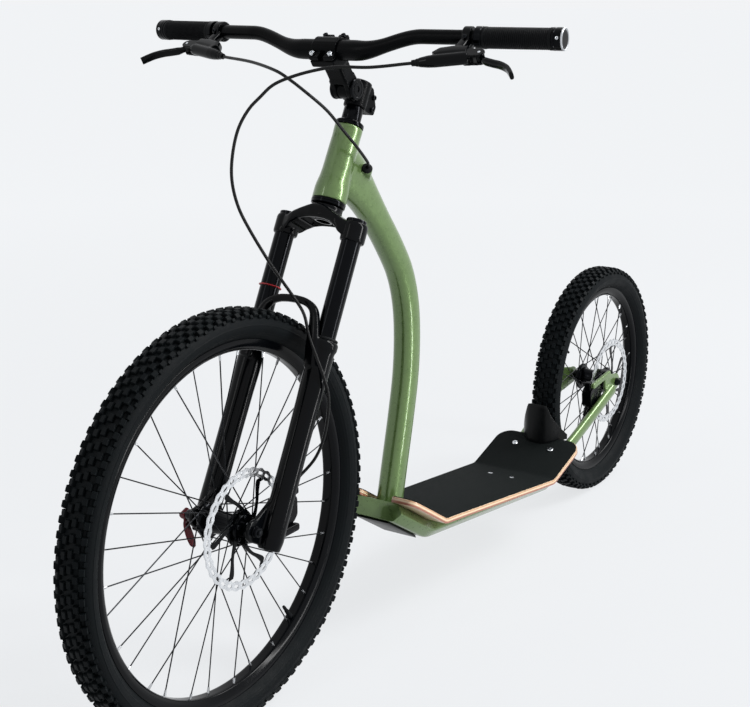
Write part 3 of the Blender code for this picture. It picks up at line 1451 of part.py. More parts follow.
def rear_stays():
    narrow = STAY_WIDTH - 0.002
    widths = (STAY_WIDTH, STAY_WIDTH, STAY_WIDTH, STAY_WIDTH, narrow)
    sections = [oval(width / 2, STAY_HEIGHT / 2) for width in widths]
    return merged([swept(stay_path(side), sections) for side in (-1, 1)])


def rear_dropouts():
    outline = arc((0, REAR_TYRE_RADIUS), 0.019, 80, 250, 10)
    outline += [
        (STAY_END_X + 0.022, REAR_TYRE_RADIUS - 0.026),
        (STAY_END_X + 0.030, REAR_TYRE_RADIUS + 0.024),
        (STAY_END_X + 0.016, REAR_TYRE_RADIUS + 0.028),
    ]
    far = DROPOUT_Y + REAR_DROPOUT_THICK
    return merged([side_prism(outline, *sorted((side * DROPOUT_Y, side * far))) for side in (-1, 1)])


def main_tube_rows():
    """Station, height and depth at each point of the main tube, from the head tube down to its foot."""
    low = deck_top(WHEELBASE - MAIN_TUBE_ROUTE[-1][0]) - TUBE_FOOT_DEPTH
    rise = TUBE_HEAD_HEIGHT - low
    return [(WHEELBASE - back, low + share * rise, depth) for back, share, depth in MAIN_TUBE_ROUTE]


def main_tube():
    rows = main_tube_rows()
    path = [(x, 0, z) for x, z, _ in rows]
    return swept(path, [oval(TUBE_WIDTH / 2, depth / 2) for _, _, depth in rows])


def main_tube_hollow():
    """The room inside the main tube, from behind the head tube down into the beam's."""
    rows = main_tube_rows()
    start = (Vector(rows[1]) + Vector(rows[2])) / 2
    rows = [tuple(start)] + rows[2:]
    path = [(x, 0, z) for x, z, _ in rows]
    path.append((path[-1][0], 0, path[-1][2] - BEAM_HEIGHT / 3))
    depths = [depth for _, _, depth in rows] + [TUBE_DEPTH]
    half_width = TUBE_WIDTH / 2 - FRAME_WALL
    return swept(path, [oval(half_width, depth / 2 - FRAME_WALL, HOLLOW_SIDES) for depth in depths])


def frame_body(scooter):
    head = [
        (0, HEAD_TUBE_BOTTOM),
        (HEAD_TUBE_LOW_RADIUS, HEAD_TUBE_BOTTOM),
        (HEAD_TUBE_LOW_RADIUS, HEAD_TUBE_BOTTOM + 0.020),
        (HEAD_TUBE_LOW_RADIUS - 0.0035, HEAD_TUBE_BOTTOM + 0.045),
        (HEAD_TUBE_HIGH_RADIUS - 0.0005, HEAD_TUBE_TOP - 0.020),
        (HEAD_TUBE_HIGH_RADIUS, HEAD_TUBE_TOP),
        (0, HEAD_TUBE_TOP),
    ]
    made = piece("frame", moved(staggered(turned(head)), STEERING), scooter, SAGE_PAINT)
    join(made, main_tube(), "main_tube")
    beam = beam_path(0, 0)
    join(made, swept(beam, [beam_section()] * len(beam)), "beam")
    join(made, rear_stays(), "stays")
    join(made, rear_dropouts(), "dropouts")
    turn = Matrix.Translation((0, ROTOR_Y, REAR_TYRE_RADIUS)) @ Matrix.Rotation(-REAR_CALIPER_ANGLE, 4, "Y")
    join(made, moved(caliper_brackets(REAR_DROPOUT_THICK, (0.040, 0.020)), turn), "caliper_brackets")
    port = rod(PORT_RADIUS, -0.010, HOSE_PORT_HEIGHT, HOSE_PORT, HOSE_PORT_AXIS, TUBE_SIDES)
    join(made, port, "hose_port")
    cut(made, main_tube_hollow(), "tube_hollow")
    inner = beam_path(NOSE_PLATE_THICK, NOSE_PLATE_THICK)
    cut(made, swept(inner, [beam_section(FRAME_WALL)] * len(inner)), "beam_hollow")
    head_bore = rod(HEAD_BORE_RADIUS, HEAD_TUBE_BOTTOM - 0.03, HEAD_TUBE_TOP + 0.03)
    cut(made, moved(head_bore, STEERING), "head_bore")
    hole = rod(PORT_BORE, -0.045, HOSE_PORT_HEIGHT + 0.01, HOSE_PORT, HOSE_PORT_AXIS, TUBE_SIDES)
    cut(made, hole, "port_hole")
    exit_place = (BEAM_REAR_X, HOSE_EXIT_Y, beam[0][2])
    cut(made, rod(HOSE_RADIUS + 0.001, -0.02, 0.02, exit_place, (1, 0, 0), SMALL_STEPS), "hose_exit")
    cut(made, deck_bolt_holes(), "bolt_holes")
    far = DROPOUT_Y + LEG_Y
    cut(made, rod(AXLE_RADIUS + FIT, -far, far, REAR_AXLE, (0, 1, 0), ROUND_STEPS), "axle_hole")
    return made


def hose_grommet(scooter):
    """A rubber plug in the hose port, with the hose through it."""
    bore = HOSE_RADIUS + FIT
    body = PORT_BORE - FIT
    seat = HOSE_PORT_HEIGHT + FIT
    profile = [(bore, -0.004), (body, -0.004), (body, seat), (PORT_RADIUS - 0.0008, seat)]
    profile += [(bore + 0.002, seat + 0.004), (bore, seat + 0.004)]
    piece("hose_grommet", placed(turned(profile, TUBE_SIDES), HOSE_PORT, HOSE_PORT_AXIS), scooter, RUBBER)


def deck(scooter):
    sheet_bottom = GRIP_SHEET_THICK
    board_top = sheet_bottom + FIT
    bent_sheet("deck_board", scooter, board_top, board_top + DECK_THICK, 0, PLYWOOD)
    bent_sheet("deck_grip_sheet", scooter, 0, sheet_bottom, GRIP_SHEET_INSET, GRIP_TAPE)
    deck_bolt_pieces(scooter)


def skid_plate(scooter):
    """A wear strip under the beam's nose slope."""
    top = GRIP_SHEET_THICK + FIT + DECK_THICK + FIT + BEAM_HEIGHT + FIT
    ends = (NOSE_KICK_X + 0.004, NOSE_END_X - 0.014)
    outline = deck_line(ends, top) + deck_line(ends, top + SKID_THICK)[::-1]
    piece("skid_plate", side_prism(outline, -SKID_HALF, SKID_HALF), scooter, PLASTIC)


def rear_mudguard(scooter):
    """A folded plate standing on the tail, its flanks swept back past the tyre."""
    outer = [(GUARD_X, GUARD_HALF), (GUARD_X - 0.012, GUARD_HALF + 0.011), (GUARD_X - 0.045, 0.051)]
    inner = [(x - GUARD_THICK, y - 0.4 * GUARD_THICK) for x, y in outer]
    half = outer + inner[::-1]
    plan = [(x, -y) for x, y in outer[::-1]] + half + [(x, -y) for x, y in inner]
    made = piece("rear_mudguard", plan_prism(plan, 0.10, GUARD_TOP + 0.05), scooter, BLACK_PAINT)
    ends = (GUARD_X - 0.06, GUARD_X + 0.02)
    base = deck_line(ends, -FIT)
    side = base + [(GUARD_X + 0.02, GUARD_TOP), (GUARD_X - 0.008, GUARD_TOP)]
    side.append((GUARD_X - 0.06, GUARD_TOP - 0.068))
    combine(made, side_prism(side, -0.1, 0.1), "outline", "INTERSECT")
    return made


# Hoses


def hose(name, points, parent):
    """A brake hose, as a tube through points read from its smooth route."""
    curve = bpy.data.curves.new(name, "CURVE")
    curve.dimensions = "3D"
    curve.bevel_depth = HOSE_RADIUS
    curve.bevel_resolution = 2
    curve.use_fill_caps = True
    spline = curve.splines.new("POLY")
    spline.points.add(len(points) - 1)
    for spot, point in zip(spline.points, points):
        spot.co = (*point, 1)
    curve.materials.append(material(name, PLASTIC))
    made = bpy.data.objects.new(name, curve)
    bpy.context.scene.collection.objects.link(made)
    made.parent = parent
    return made


def lever_port(side):
    """The end of a lever's hose port and the point one straight stretch out of it, from the rear axle."""
    start = sided(LEVER_BODY_START, side)
    run = sided(LEVER_BODY_END, side) - start
    ahead = run.normalized()
    end = start + ahead * (run.length + LEVER_PORT_LENGTH + FIT)
    place = BAR @ lever_matrix(side)
    return [place @ end, place @ (end + ahead * HOSE_STRAIGHT)]


def caliper_port(axle_place, angle):
    """The same for a caliper, in the frame that the axle's place is given in."""
    place = axle_place @ Matrix.Translation((0, ROTOR_Y, 0)) @ Matrix.Rotation(-angle, 4, "Y")
    end = CALIPER_PORT_START + CALIPER_PORT_AXIS * (CALIPER_PORT_LENGTH + FIT)
    return [place @ (end + CALIPER_PORT_AXIS * HOSE_STRAIGHT), place @ end]


def front_hose(steering):
    start = [STEERING.inverted() @ point for point in lever_port(1)]
    end = caliper_port(Matrix.Translation((FORK_RAKE, 0, 0)), FRONT_CALIPER_ANGLE)
    route = start + [Vector(point) for point in FRONT_HOSE] + end
    hose("front_brake_hose", smooth_path(route, HOSE_STEP), steering)


def rear_hose(scooter):
    reaches = (HOSE_PORT_HEIGHT + 0.018, HOSE_PORT_HEIGHT + 0.005, -0.006, -0.016)
    port = [HOSE_PORT + HOSE_PORT_AXIS * reach for reach in reaches]
    outside = lever_port(-1) + [Vector(point) for point in REAR_HOSE_OUTSIDE] + port
    inside = [Vector(point) for point in REAR_HOSE_INSIDE]
    inside += caliper_port(Matrix.Translation(REAR_AXLE), REAR_CALIPER_ANGLE)
    points = smooth_path(outside + inside[:1], HOSE_STEP)[:-1]
    points += smooth_path([outside[-1]] + inside, HOSE_HIDDEN_STEP)[1:]
    hose("rear_brake_hose", points, scooter)


def build():
    clear_scene()
    scooter = empty("scooter", Matrix.Translation((-MIDDLE_X, 0, 0)))
    steering = empty("steering_axis", STEERING, scooter)
    front_centre = empty("front_wheel_axis", Matrix.Translation((FORK_RAKE, 0, 0)), steering)
    rear_centre = empty("rear_wheel_axis", Matrix.Translation(REAR_AXLE), scooter)
    arm_place = Matrix.Translation(STEM_PIVOT) @ Matrix.Rotation(-STEM_RISE, 4, "Y")
    arm = empty("stem_pivot_axis", arm_place, steering)
    level = Matrix.Translation((STEM_LENGTH, 0, 0)) @ Matrix.Rotation(LEVEL_TURN, 4, "Y")
    bar = empty("bar_centre", level, arm)

    frame_body(scooter)
    hose_grommet(scooter)
    deck(scooter)
    skid_plate(scooter)
    rear_mudguard(scooter)
    headset(scooter)

    wheel("front", front_centre, FRONT_TYRE_RADIUS, FRONT_BEAD_RADIUS, FRONT_VALVE_ANGLE)
    wheel("rear", rear_centre, REAR_TYRE_RADIUS, REAR_BEAD_RADIUS, REAR_VALVE_ANGLE)
    nut = (AXLE_NUT_LENGTH, AXLE_STUB)
    piece("rear_axle", axle_shape(REAR_DROPOUT_THICK, nut, nut), rear_centre, BLACK_METAL)
    brake("rear", caliper_frame("rear_caliper_frame", rear_centre, REAR_CALIPER_ANGLE))
    brake("front", caliper_frame("front_caliper_frame", front_centre, FRONT_CALIPER_ANGLE))

    fork_lowers(steering)
    fork_crown(steering)
    stanchions(steering)
    leg_rod("damper_rod", -1, steering)
    leg_rod("air_spring_rod", 1, steering)
    travel_ring(steering)
    steerer(steering)
    front_axle(front_centre)
    quick_lever(front_centre)

    stem_base(steering)
    stem_arm(arm)
    stem_faceplate(arm)
    faceplate_bolts(arm)
    stem_pivot_bolt(arm)
    handlebar(bar)
    grips(bar)
    for side, word in ((1, "left"), (-1, "right")):
        lever_body(side, word, bar)
        lever_pin(side, word, bar)
        hinge = empty(f"lever_axis_{word}", lever_matrix(side), bar)
        lever_blade(side, word, hinge)
    front_hose(steering)
    rear_hose(scooter)


build()
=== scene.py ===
"""The looks of a dog scooter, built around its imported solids.

Metres, +X forward, +Y to the rider's left, +Z up, the ground at zero. Each piece is made in its place,
rides on the body that carries it and stands for the plain solids that it covers.
"""

import math

import bmesh
import bpy
from mathutils import Matrix, Vector


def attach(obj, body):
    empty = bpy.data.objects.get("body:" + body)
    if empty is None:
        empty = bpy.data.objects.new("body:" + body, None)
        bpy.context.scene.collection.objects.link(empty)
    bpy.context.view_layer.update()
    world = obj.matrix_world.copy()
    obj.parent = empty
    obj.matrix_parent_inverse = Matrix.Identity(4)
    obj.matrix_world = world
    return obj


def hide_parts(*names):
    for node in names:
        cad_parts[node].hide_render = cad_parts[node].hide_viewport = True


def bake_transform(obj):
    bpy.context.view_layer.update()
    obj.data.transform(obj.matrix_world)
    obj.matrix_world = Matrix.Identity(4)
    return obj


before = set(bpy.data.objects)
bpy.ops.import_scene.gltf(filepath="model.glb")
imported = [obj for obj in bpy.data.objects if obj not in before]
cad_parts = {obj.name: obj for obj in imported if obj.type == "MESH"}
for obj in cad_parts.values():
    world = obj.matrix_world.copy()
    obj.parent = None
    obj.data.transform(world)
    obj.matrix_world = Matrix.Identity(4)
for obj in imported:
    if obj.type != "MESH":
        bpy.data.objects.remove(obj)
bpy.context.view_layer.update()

# Places: a station counts from the rear axle, which lies MIDDLE behind the frame's origin
MIDDLE = 0.69125
FRONT_RADIUS = 0.331
REAR_RADIUS = 0.2545
FRONT_AXLE = Vector((0.61475, 0, FRONT_RADIUS))
REAR_AXLE = Vector((-MIDDLE, 0, REAR_RADIUS))
AXIS_LEAN = 27
STEM_RISE = 27.6
FORK_RAKE = 0.040
STEM_PIVOT_X = 0.0335
STEM_PIVOT_Z = 0.710
STEM_LENGTH = 0.0765
AHEAD = Vector((math.cos(math.radians(AXIS_LEAN)), 0, math.sin(math.radians(AXIS_LEAN))))
# The gap at which one piece rests on the next
FIT = 0.0003


def shift(*place):
    return Matrix.Translation(place)


def turn(degrees, axis="Y"):
    return Matrix.Rotation(math.radians(degrees), 4, axis)


STEERING = shift(*(FRONT_AXLE - FORK_RAKE * AHEAD)) @ turn(-AXIS_LEAN)
FRONT = STEERING @ shift(FORK_RAKE, 0, 0)
REAR = shift(*REAR_AXLE)
STEM = STEERING @ shift(STEM_PIVOT_X, 0, STEM_PIVOT_Z) @ turn(-STEM_RISE)
BAR = STEM @ shift(STEM_LENGTH, 0, 0) @ turn(AXIS_LEAN + STEM_RISE)
ALONG_Y = turn(-90, "X")
MERGE = 0.000001

# Wheels
TYRE_HEIGHT = 0.0515
RIM_RISE = 0.006
RIM_DEPTH = 0.0125
KNOB_PITCH = 0.0212
WHEEL_STEPS = 144
HUB_FLANGE_Y = 0.0285
SPOKES_A_SIDE = 16
SPOKE_CIRCLE = 0.0258
SPOKE_TURN = 67.5
SPOKE_CELLS = 8

# Rotors and calipers; the rivets' circle is in millimetres, like the rotors' outlines
ROTOR_Y = 0.0385
ROTOR_LINKS = 32
ROTOR_ARMS = 6
RIVET_REACH = 80.5
RIVET_ANGLE = 24
FRONT_CALIPER = -152
REAR_CALIPER = 8
CALIPER_EDGE = 0.0235
CALIPER_PORT = Vector((0.105, 0, -0.016))
CALIPER_PORT_AXIS = Vector((0.8, 0, -0.6))

# Fork
LEG_Y = 0.065
LEG_FORWARD = 0.004
LEG_RADIUS = 0.0202
LEG_FOOT = -0.022
CROWN_BOTTOM = 0.4685
CROWN_TOP = 0.5003
HEAD_LOW = 0.5323
HEAD_HIGH = 0.6585
DROPOUT_Y = 0.050

# Bar and levers
BAR_HALF = 0.3815
BAR_BEND_START = 0.055
BAR_BEND_END = 0.160
BAR_SWEEP = math.radians(7.6)
GRIP_INNER_Y = 0.2475
GRIP_OUTER_Y = 0.3645
LEVER_CLAMP_Y = 0.235
BODY_START = Vector((0.006, -0.0165, 0.002))
BODY_END = Vector((0.028, -0.088, 0.006))
HOSE_RADIUS = 0.0025
HOSE_STRAIGHT = 0.008

# Deck
DECK_SLOPE = 0.1145
NOSE_SLOPE = 0.619
TAIL_SLOPE = -0.349
TAIL_END = 0.252 - MIDDLE
TAIL_KICK = 0.376 - MIDDLE
NOSE_KICK = 0.785 - MIDDLE
NOSE_END = 0.892 - MIDDLE
DECK_MARK_X = 0.55
DECK_MARK_Z = 0.162
NOSE_HALF = 0.083
TAIL_HALF = 0.095
NOTCH_HALF = 0.030
NOTCH_BACK = 0.806 - MIDDLE
SHEET_THICK = 0.0012
SHEET_INSET = 0.0012
BOARD_THICK = 0.010
BOARD_TOP = SHEET_THICK + FIT
BOARD_BOTTOM = BOARD_TOP + BOARD_THICK
BEAM_HEIGHT = 0.033
BEAM_HALF = 0.060
BEAM_FLAT = 0.046
BEAM_REAR = 0.318 - MIDDLE
BEND_RADIUS = 0.030

# Finishes


def linear(code):
    """The linear colour of an sRGB hex code."""
    parts = [int(code[i : i + 2], 16) / 255 for i in (1, 3, 5)]
    return [(part / 12.92) if part <= 0.04045 else ((part + 0.055) / 1.055) ** 2.4 for part in parts] + [1]


def add(tree, kind, sockets=None, **settings):
    """A node with its settings; each socket takes a value or another node's output."""
    made = tree.nodes.new(kind)
    for name, value in settings.items():
        setattr(made, name, value)
    for key, value in (sockets or {}).items():
        if isinstance(value, bpy.types.NodeSocket):
            tree.links.new(value, made.inputs[key])
        else:
            made.inputs[key].default_value = value
    return made


def finish(
    name, colours, metallic, roughness, mottle, grain, relief, stretch=(1, 1, 1), spread=0.05, **sockets
):
    """A finish that drifts between two colours over the mottle's size and has a fine relief, sizes in
    millimetres."""
    made = bpy.data.materials.new(name)
    made.use_nodes = True
    tree = made.node_tree
    shader = tree.nodes["Principled BSDF"]
    place = add(tree, "ShaderNodeTexCoord").outputs["Object"]
    place = add(tree, "ShaderNodeMapping", {"Vector": place, "Scale": stretch}).outputs[0]
    drift = add(tree, "ShaderNodeTexNoise", {"Vector": place, "Scale": 1000 / mottle, "Detail": 4.0})
    shade = {"Factor": drift.outputs[0], 6: linear(colours[0]), 7: linear(colours[1])}
    colour = add(tree, "ShaderNodeMix", shade, data_type="RGBA", clamp_factor=True)
    tree.links.new(colour.outputs[2], shader.inputs["Base Color"])
    low, high = roughness - spread, roughness + spread
    dull = {"Value": drift.outputs[0], "From Min": 0.3, "From Max": 0.7, "To Min": low, "To Max": high}
    tree.links.new(add(tree, "ShaderNodeMapRange", dull).outputs[0], shader.inputs["Roughness"])
    fine = add(tree, "ShaderNodeTexNoise", {"Vector": place, "Scale": 1000 / grain, "Detail": 2.0})
    bump = {"Height": fine.outputs[0], "Distance": relief / 1000, "Strength": 1.0}
    tree.links.new(add(tree, "ShaderNodeBump", bump).outputs[0], shader.inputs["Normal"])
    shader.inputs["Metallic"].default_value = metallic
    for socket, value in sockets.items():
        shader.inputs[socket.replace("_", " ")].default_value = value
    return made


# Sage green metallic lacquer on tube: deep green with pale highlights under a clear coat. Its flake is
# drawn as
# a drift over 9 mm and a grain of 3 mm, both far coarser than real
SAGE_LACQUER = finish(
    "sage_metallic_lacquer", (
        "#5A743F", "#67824C"
    ), 0.35, 0.30, 9, 3.0, 0.001, Coat_Weight=0.6, Coat_Roughness=0.04, Specular_IOR_Level=0.35
)
# The specular levels of the blacks lie below real ones, to come nearer to the photo under a white surround

# Gloss black lacquer on cast magnesium: mirror streaks on near black, with a little orange peel
BLACK_LACQUER = finish(
    "gloss_black_lacquer", ("#040507", "#080A0D"), 0.0, 0.14, 30, 2.5, 0.002, Specular_IOR_Level=0.10
)
# Satin black powder on forged aluminium: soft broad highlights
BLACK_SATIN = finish(
    "satin_black_powder", ("#050607", "#0B0C0E"), 0.0, 0.30, 18, 0.8, 0.004, Specular_IOR_Level=0.05
)
# Black anodised aluminium: near-black metal with tight highlights
BLACK_ANODISED = finish(
    "black_anodised_aluminium", ("#06070A", "#0B0D10"), 0.6, 0.13, 14, 0.7, 0.0006, Specular_IOR_Level=0.14
)
# Dark oxide on steel spokes and axles
BLACK_STEEL = finish(
    "black_oxide_steel", ("#121316", "#1E2023"), 0.8, 0.35, 10, 0.6, 0.003, Specular_IOR_Level=0.2
)
# Zinc plated and polished steel: bright with faint clouding
BRIGHT_STEEL = finish("bright_zinc_steel", ("#B9BDC1", "#DADDE0"), 1.0, 0.24, 5, 0.6, 0.003)
# Nickel plated brass nipples: pale grey
NICKEL = finish("nickel_plated_brass", ("#A9ABAE", "#C8CACC"), 1.0, 0.28, 4, 0.6, 0.003)
# Silver anodised aluminium: fine satin silver
SILVER_ANODISED = finish("silver_anodised_aluminium", ("#AEB1B5", "#C6C9CC"), 1.0, 0.32, 6, 0.5, 0.004)
# Stainless rotor plate, ground flat: bright with fine straight scratches, drawn coarser than real grit
ROTOR_STEEL = finish(
    "ground_stainless_steel", ("#C9CCD0", "#ECEEF0"), 1.0, 0.27, 7, 0.9, 0.006, stretch=(1, 1, 0.25)
)
# Vulcanised tyre rubber: near black with a painted cold cast of the light around it, dull, slightly mealy
TYRE_RUBBER = finish(
    "vulcanised_tyre_rubber", (
        "#07090B", "#0E1315"
    ), 0.0, 0.55, 25, 0.9, 0.03, spread=0.08, Specular_IOR_Level=0.07
)
# Soft moulded grip rubber: matt, deeper black
GRIP_RUBBER = finish(
    "soft_grip_rubber", ("#07080A", "#101214"), 0.0, 0.60, 8, 0.5, 0.02, Specular_IOR_Level=0.12
)
# Injection moulded polypropylene: black with a fine leather grain
BLACK_PLASTIC = finish(
    "moulded_black_polypropylene", ("#060708", "#0D0F10"), 0.0, 0.36, 12, 0.9, 0.01, Specular_IOR_Level=0.15
)
# Extruded hose jacket: smooth black nylon
HOSE_JACKET = finish(
    "nylon_hose_jacket", ("#060607", "#0C0D0E"), 0.0, 0.36, 10, 2.0, 0.002, Specular_IOR_Level=0.2
)
# Dark red anodised aluminium: deep wine red metal
RED_ANODISED = finish("dark_red_anodised_aluminium", ("#3E0A11", "#571019"), 0.7, 0.32, 8, 0.6, 0.004)
# Red silicone ring: bright, waxy
RED_RUBBER = finish("red_silicone_rubber", ("#A31822", "#C2222C"), 0.0, 0.50, 4, 0.6, 0.01)
# Pressed brake friction material: brown-grey with coarse metallic specks
PAD_FRICTION = finish("pressed_brake_friction", ("#3B332D", "#6B5F52"), 0.2, 0.8, 1.5, 0.7, 0.08)
# Birch veneer under clear varnish: pale with long straight grain along the deck
BIRCH = finish(
    "varnished_birch_veneer", (
        "#DDBE97", "#EED9BC"
    ), 0.0, 0.42, 6, 1.5, 0.02, stretch=(0.06, 1, 1), Coat_Weight=0.4
)


def ply_edge_finish():
    """Cut birch plywood: light and dark plies in turn, from the depth that the mesh carries, with painted
    shade that turns the lower part of the edge a darker reddish brown."""
    made = BIRCH.copy()
    made.name = "birch_plywood_edge"
    tree = made.node_tree
    depth = add(tree, "ShaderNodeAttribute", attribute_name="depth")
    plies = add(tree, "ShaderNodeMath", {0: depth.outputs["Fac"], 1: 1 / 0.00143}, operation="MULTIPLY")
    wave = add(tree, "ShaderNodeMath", {0: plies.outputs[0], 1: 2.0}, operation="PINGPONG")
    band = {"Value": wave.outputs[0], "From Min": 0.9, "From Max": 1.1}
    share = add(tree, "ShaderNodeMapRange", band).outputs[0]
    shader = tree.nodes["Principled BSDF"]
    light = shader.inputs["Base Color"].links[0].from_socket
    colours = {"Factor": share, 6: light, 7: linear("#C79C78")}
    mixed = add(tree, "ShaderNodeMix", colours, data_type="RGBA")
    # Painted shade: the lower part of the edge turns a darker reddish brown
    outer = {"Value": depth.outputs["Fac"], "From Min": 0.0072, "From Max": 0.0088, "To Max": 0.85}
    outer = add(tree, "ShaderNodeMapRange", outer).outputs[0]
    low_edge_painted_shade = add(
        tree, "ShaderNodeMix", {"Factor": outer, 6: mixed.outputs[2], 7: linear("#9A5242")}, data_type="RGBA"
    )
    tree.links.new(low_edge_painted_shade.outputs[2], shader.inputs["Base Color"])
    return made


def grit_finish():
    """Mineral grit on resin: charcoal, with grains of about 1 mm drawn as cells, some of them glinting."""
    made = finish(
        "mineral_grit_sheet", ("#080B0B", "#121717"), 0.0, 0.80, 6, 1.0, 0.08, Specular_IOR_Level=0.08
    )
    tree = made.node_tree
    shader = tree.nodes["Principled BSDF"]
    place = add(tree, "ShaderNodeTexCoord").outputs["Object"]
    cells = add(tree, "ShaderNodeTexVoronoi", {"Vector": place, "Scale": 1000 / 1.1})
    bump = {"Height": cells.outputs["Distance"], "Distance": 0.0004, "Strength": 0.8}
    tree.links.new(add(tree, "ShaderNodeBump", bump, invert=True).outputs[0], shader.inputs["Normal"])
    return made


PLY_EDGE = ply_edge_finish()
GRIT = grit_finish()

# Shapes


def merged(shapes):
    """One bmesh that holds several."""
    whole = bmesh.new()
    for shape in shapes:
        mesh = bpy.data.meshes.new("part_of_shape")
        shape.to_mesh(mesh)
        shape.free()
        whole.from_mesh(mesh)
        bpy.data.meshes.remove(mesh)
    return whole


def moved(shape, matrix):
    shape.transform(matrix)
    return shape


def facing_out(shape):
    bmesh.ops.remove_doubles(shape, verts=shape.verts, dist=MERGE)
    bmesh.ops.recalc_face_normals(shape, faces=shape.faces)
    if shape.calc_volume(signed=True) < 0:
        bmesh.ops.reverse_faces(shape, faces=shape.faces)
    return shape


def loft(rings, looped=False):
    """A closed skin over rings of points: capped at both ends, or joined end to end."""
    shape = bmesh.new()
    rows = [[shape.verts.new(point) for point in ring] for ring in rings]
    pairs = list(zip(rows, rows[1:])) + ([(rows[-1], rows[0])] if looped else [])
    for low, high in pairs:
        for i in range(len(low)):
            j = (i + 1) % len(low)
            shape.faces.new((low[i], low[j], high[j], high[i]))
    if not looped:
        shape.faces.new(rows[0])
        shape.faces.new(rows[-1])
    return facing_out(shape)


def circle(radius, steps, offset=0.0):
    turns = [2 * math.pi * (i + offset) / steps for i in range(steps)]
    return [(radius * math.cos(a), radius * math.sin(a)) for a in turns]


def arc(x, y, radius, start, end, steps):
    """Points on an arc round a centre, between two angles in degrees."""
    turns = [math.radians(start + (end - start) * i / steps) for i in range(steps + 1)]
    return [(x + radius * math.cos(a), y + radius * math.sin(a)) for a in turns]


def turned(profile, steps=48):
    """A body turned about Z from (radius, height) points: a ring if its ends are off the axis."""
    rings = [[(x, y, height) for x, y in circle(radius, steps)] for radius, height in profile]
    return loft(rings, looped=profile[0][0] > 0)


def cylinder(radius, low, high, edge=0.0008, steps=48):
    """A solid round bar with its rims broken."""
    profile = [(0, low), (radius - edge, low), (radius - 0.3 * edge, low + 0.3 * edge), (radius, low + edge)]
    profile += [
        (radius, high - edge), (radius - 0.3 * edge, high - 0.3 * edge), (radius - edge, high), (0, high)
    ]
    return turned(profile, steps)


def along(shape, place, axis):
    """Turns a shape so that its Z lies along the axis, and moves it to the place."""
    spin = Vector((0, 0, 1)).rotation_difference(Vector(axis)).to_matrix().to_4x4()
    return moved(shape, shift(*place) @ spin)


def side_prism(outline, low_y, high_y):
    """An (x, z) outline drawn out along Y."""
    return loft([[(x, y, z) for x, z in outline] for y in (low_y, high_y)])


def plan_prism(outline, low_z, high_z):
    return loft([[(x, y, z) for x, y in outline] for z in (low_z, high_z)])


def rounded(corners, radius, steps=4, closed=True):
    """A line of points with each of its corners rounded off."""
    corners = [Vector(corner) for corner in corners]
    found = []
    for i, corner in enumerate(corners):
        if not closed and i in (0, len(corners) - 1):
            found.append(corner)
            continue
        back = corners[i - 1] - corner
        ahead = corners[(i + 1) % len(corners)] - corner
        reach = min(radius, 0.48 * back.length, 0.48 * ahead.length)
        start = corner + back.normalized() * reach
        end = corner + ahead.normalized() * reach
        for step in range(steps + 1):
            t = step / steps
            found.append((1 - t) ** 2 * start + 2 * t * (1 - t) * corner + t * t * end)
    return found


def block(low, high, corner=0.0015, matrix=None):
    """A box drawn along Y with its four long edges rounded and its ends broken."""
    (x0, y0, z0), (x1, y1, z1) = low, high
    rings = []
    small = 0.4 * corner
    for y, inset in ((y0, small), (y0 + small, 0), (y1 - small, 0), (y1, small)):
        corners = [
            (x0 + inset, z0 + inset), (x1 - inset, z0 + inset), (x1 - inset, z1 - inset),
            (x0 + inset, z1 - inset),
        ]
        rings.append([(point.x, y, point.y) for point in rounded(corners, corner)])
    shape = loft(rings)
    return moved(shape, matrix) if matrix else shape


def smooth_path(points, spacing):
    """Points at about this spacing on a smooth curve through a route's own points."""
    points = [Vector(point) for point in points]
    ends = [2 * points[0] - points[1]] + points + [2 * points[-1] - points[-2]]
    found = []
    for before, start, end, after in zip(ends, ends[1:], ends[2:], ends[3:]):
        count = max(1, round((end - start).length / spacing))
        leave = (end - before) / 2
        reach = (after - start) / 2
        for i in range(count):
            t = i / count
            place = start * (2 * t**3 - 3 * t**2 + 1) + leave * (t**3 - 2 * t**2 + t)
            found.append(place + end * (3 * t**2 - 2 * t**3) + reach * (t**3 - t**2))
    return found + [points[-1]]


def swept(points, sections, reference=None):
    """A skin over sections of (across, up) offsets square on a path; without a reference it doesn't twist."""
    points = [Vector(point) for point in points]
    if not isinstance(sections[0][0], (tuple, list, Vector)):
        sections = [sections] * len(points)
    across = Vector(reference or (0.3, 1, 0.2))
    rings = []
    for i, (point, section) in enumerate(zip(points, sections)):
        ahead = (points[min(i + 1, len(points) - 1)] - points[max(i - 1, 0)]).normalized()
        across = Vector(reference) if reference else across
        across = (across - ahead * ahead.dot(across)).normalized()
        up = ahead.cross(across)
        rings.append([point + across * u + up * v for u, v in section])
    return loft(rings)


def oval(half_width, half_height, sides=32, power=2.0):
    """A closed oval, squarer as the power rises above two."""
    found = []
    for x, y in circle(1, sides, 0.5):
        reach = (abs(x) ** power + abs(y) ** power) ** (-1 / power)
        found.append((half_width * x * reach, half_height * y * reach))
    return found


def hexagon(flats, steps=24):
    """Points on a hexagon, as many as on the round it is bored in."""
    found = []
    for x, y in circle(1, steps):
        off = (math.degrees(math.atan2(y, x)) % 60) - 30
        reach = flats / 2 / math.cos(math.radians(off))
        found.append((x * reach, y * reach))
    return found


def socket_bolt(radius, height, flats, dome=0.3):
    """A bolt head standing on Z = 0, with a hexagon socket."""
    def level(points, z):
        return [(x, y, z) for x, y in points]

    steps = 24
    rise = height * dome
    rings = [level(circle(radius * 0.97, steps), 0), level(circle(radius, steps), 0.0003)]
    rings += [level(circle(radius, steps), height - rise)]
    rings += [
        level(circle(radius * (1 - 0.22 * t * t), steps), height - rise * (1 - t)) for t in (0.5, 0.8, 1)
    ]
    rings += [level(hexagon(flats * 1.08), height), level(hexagon(flats), height - 0.0003)]
    rings += [level(hexagon(flats), height * 0.35), level(circle(0.00005, steps), height * 0.3)]
    return loft(rings)


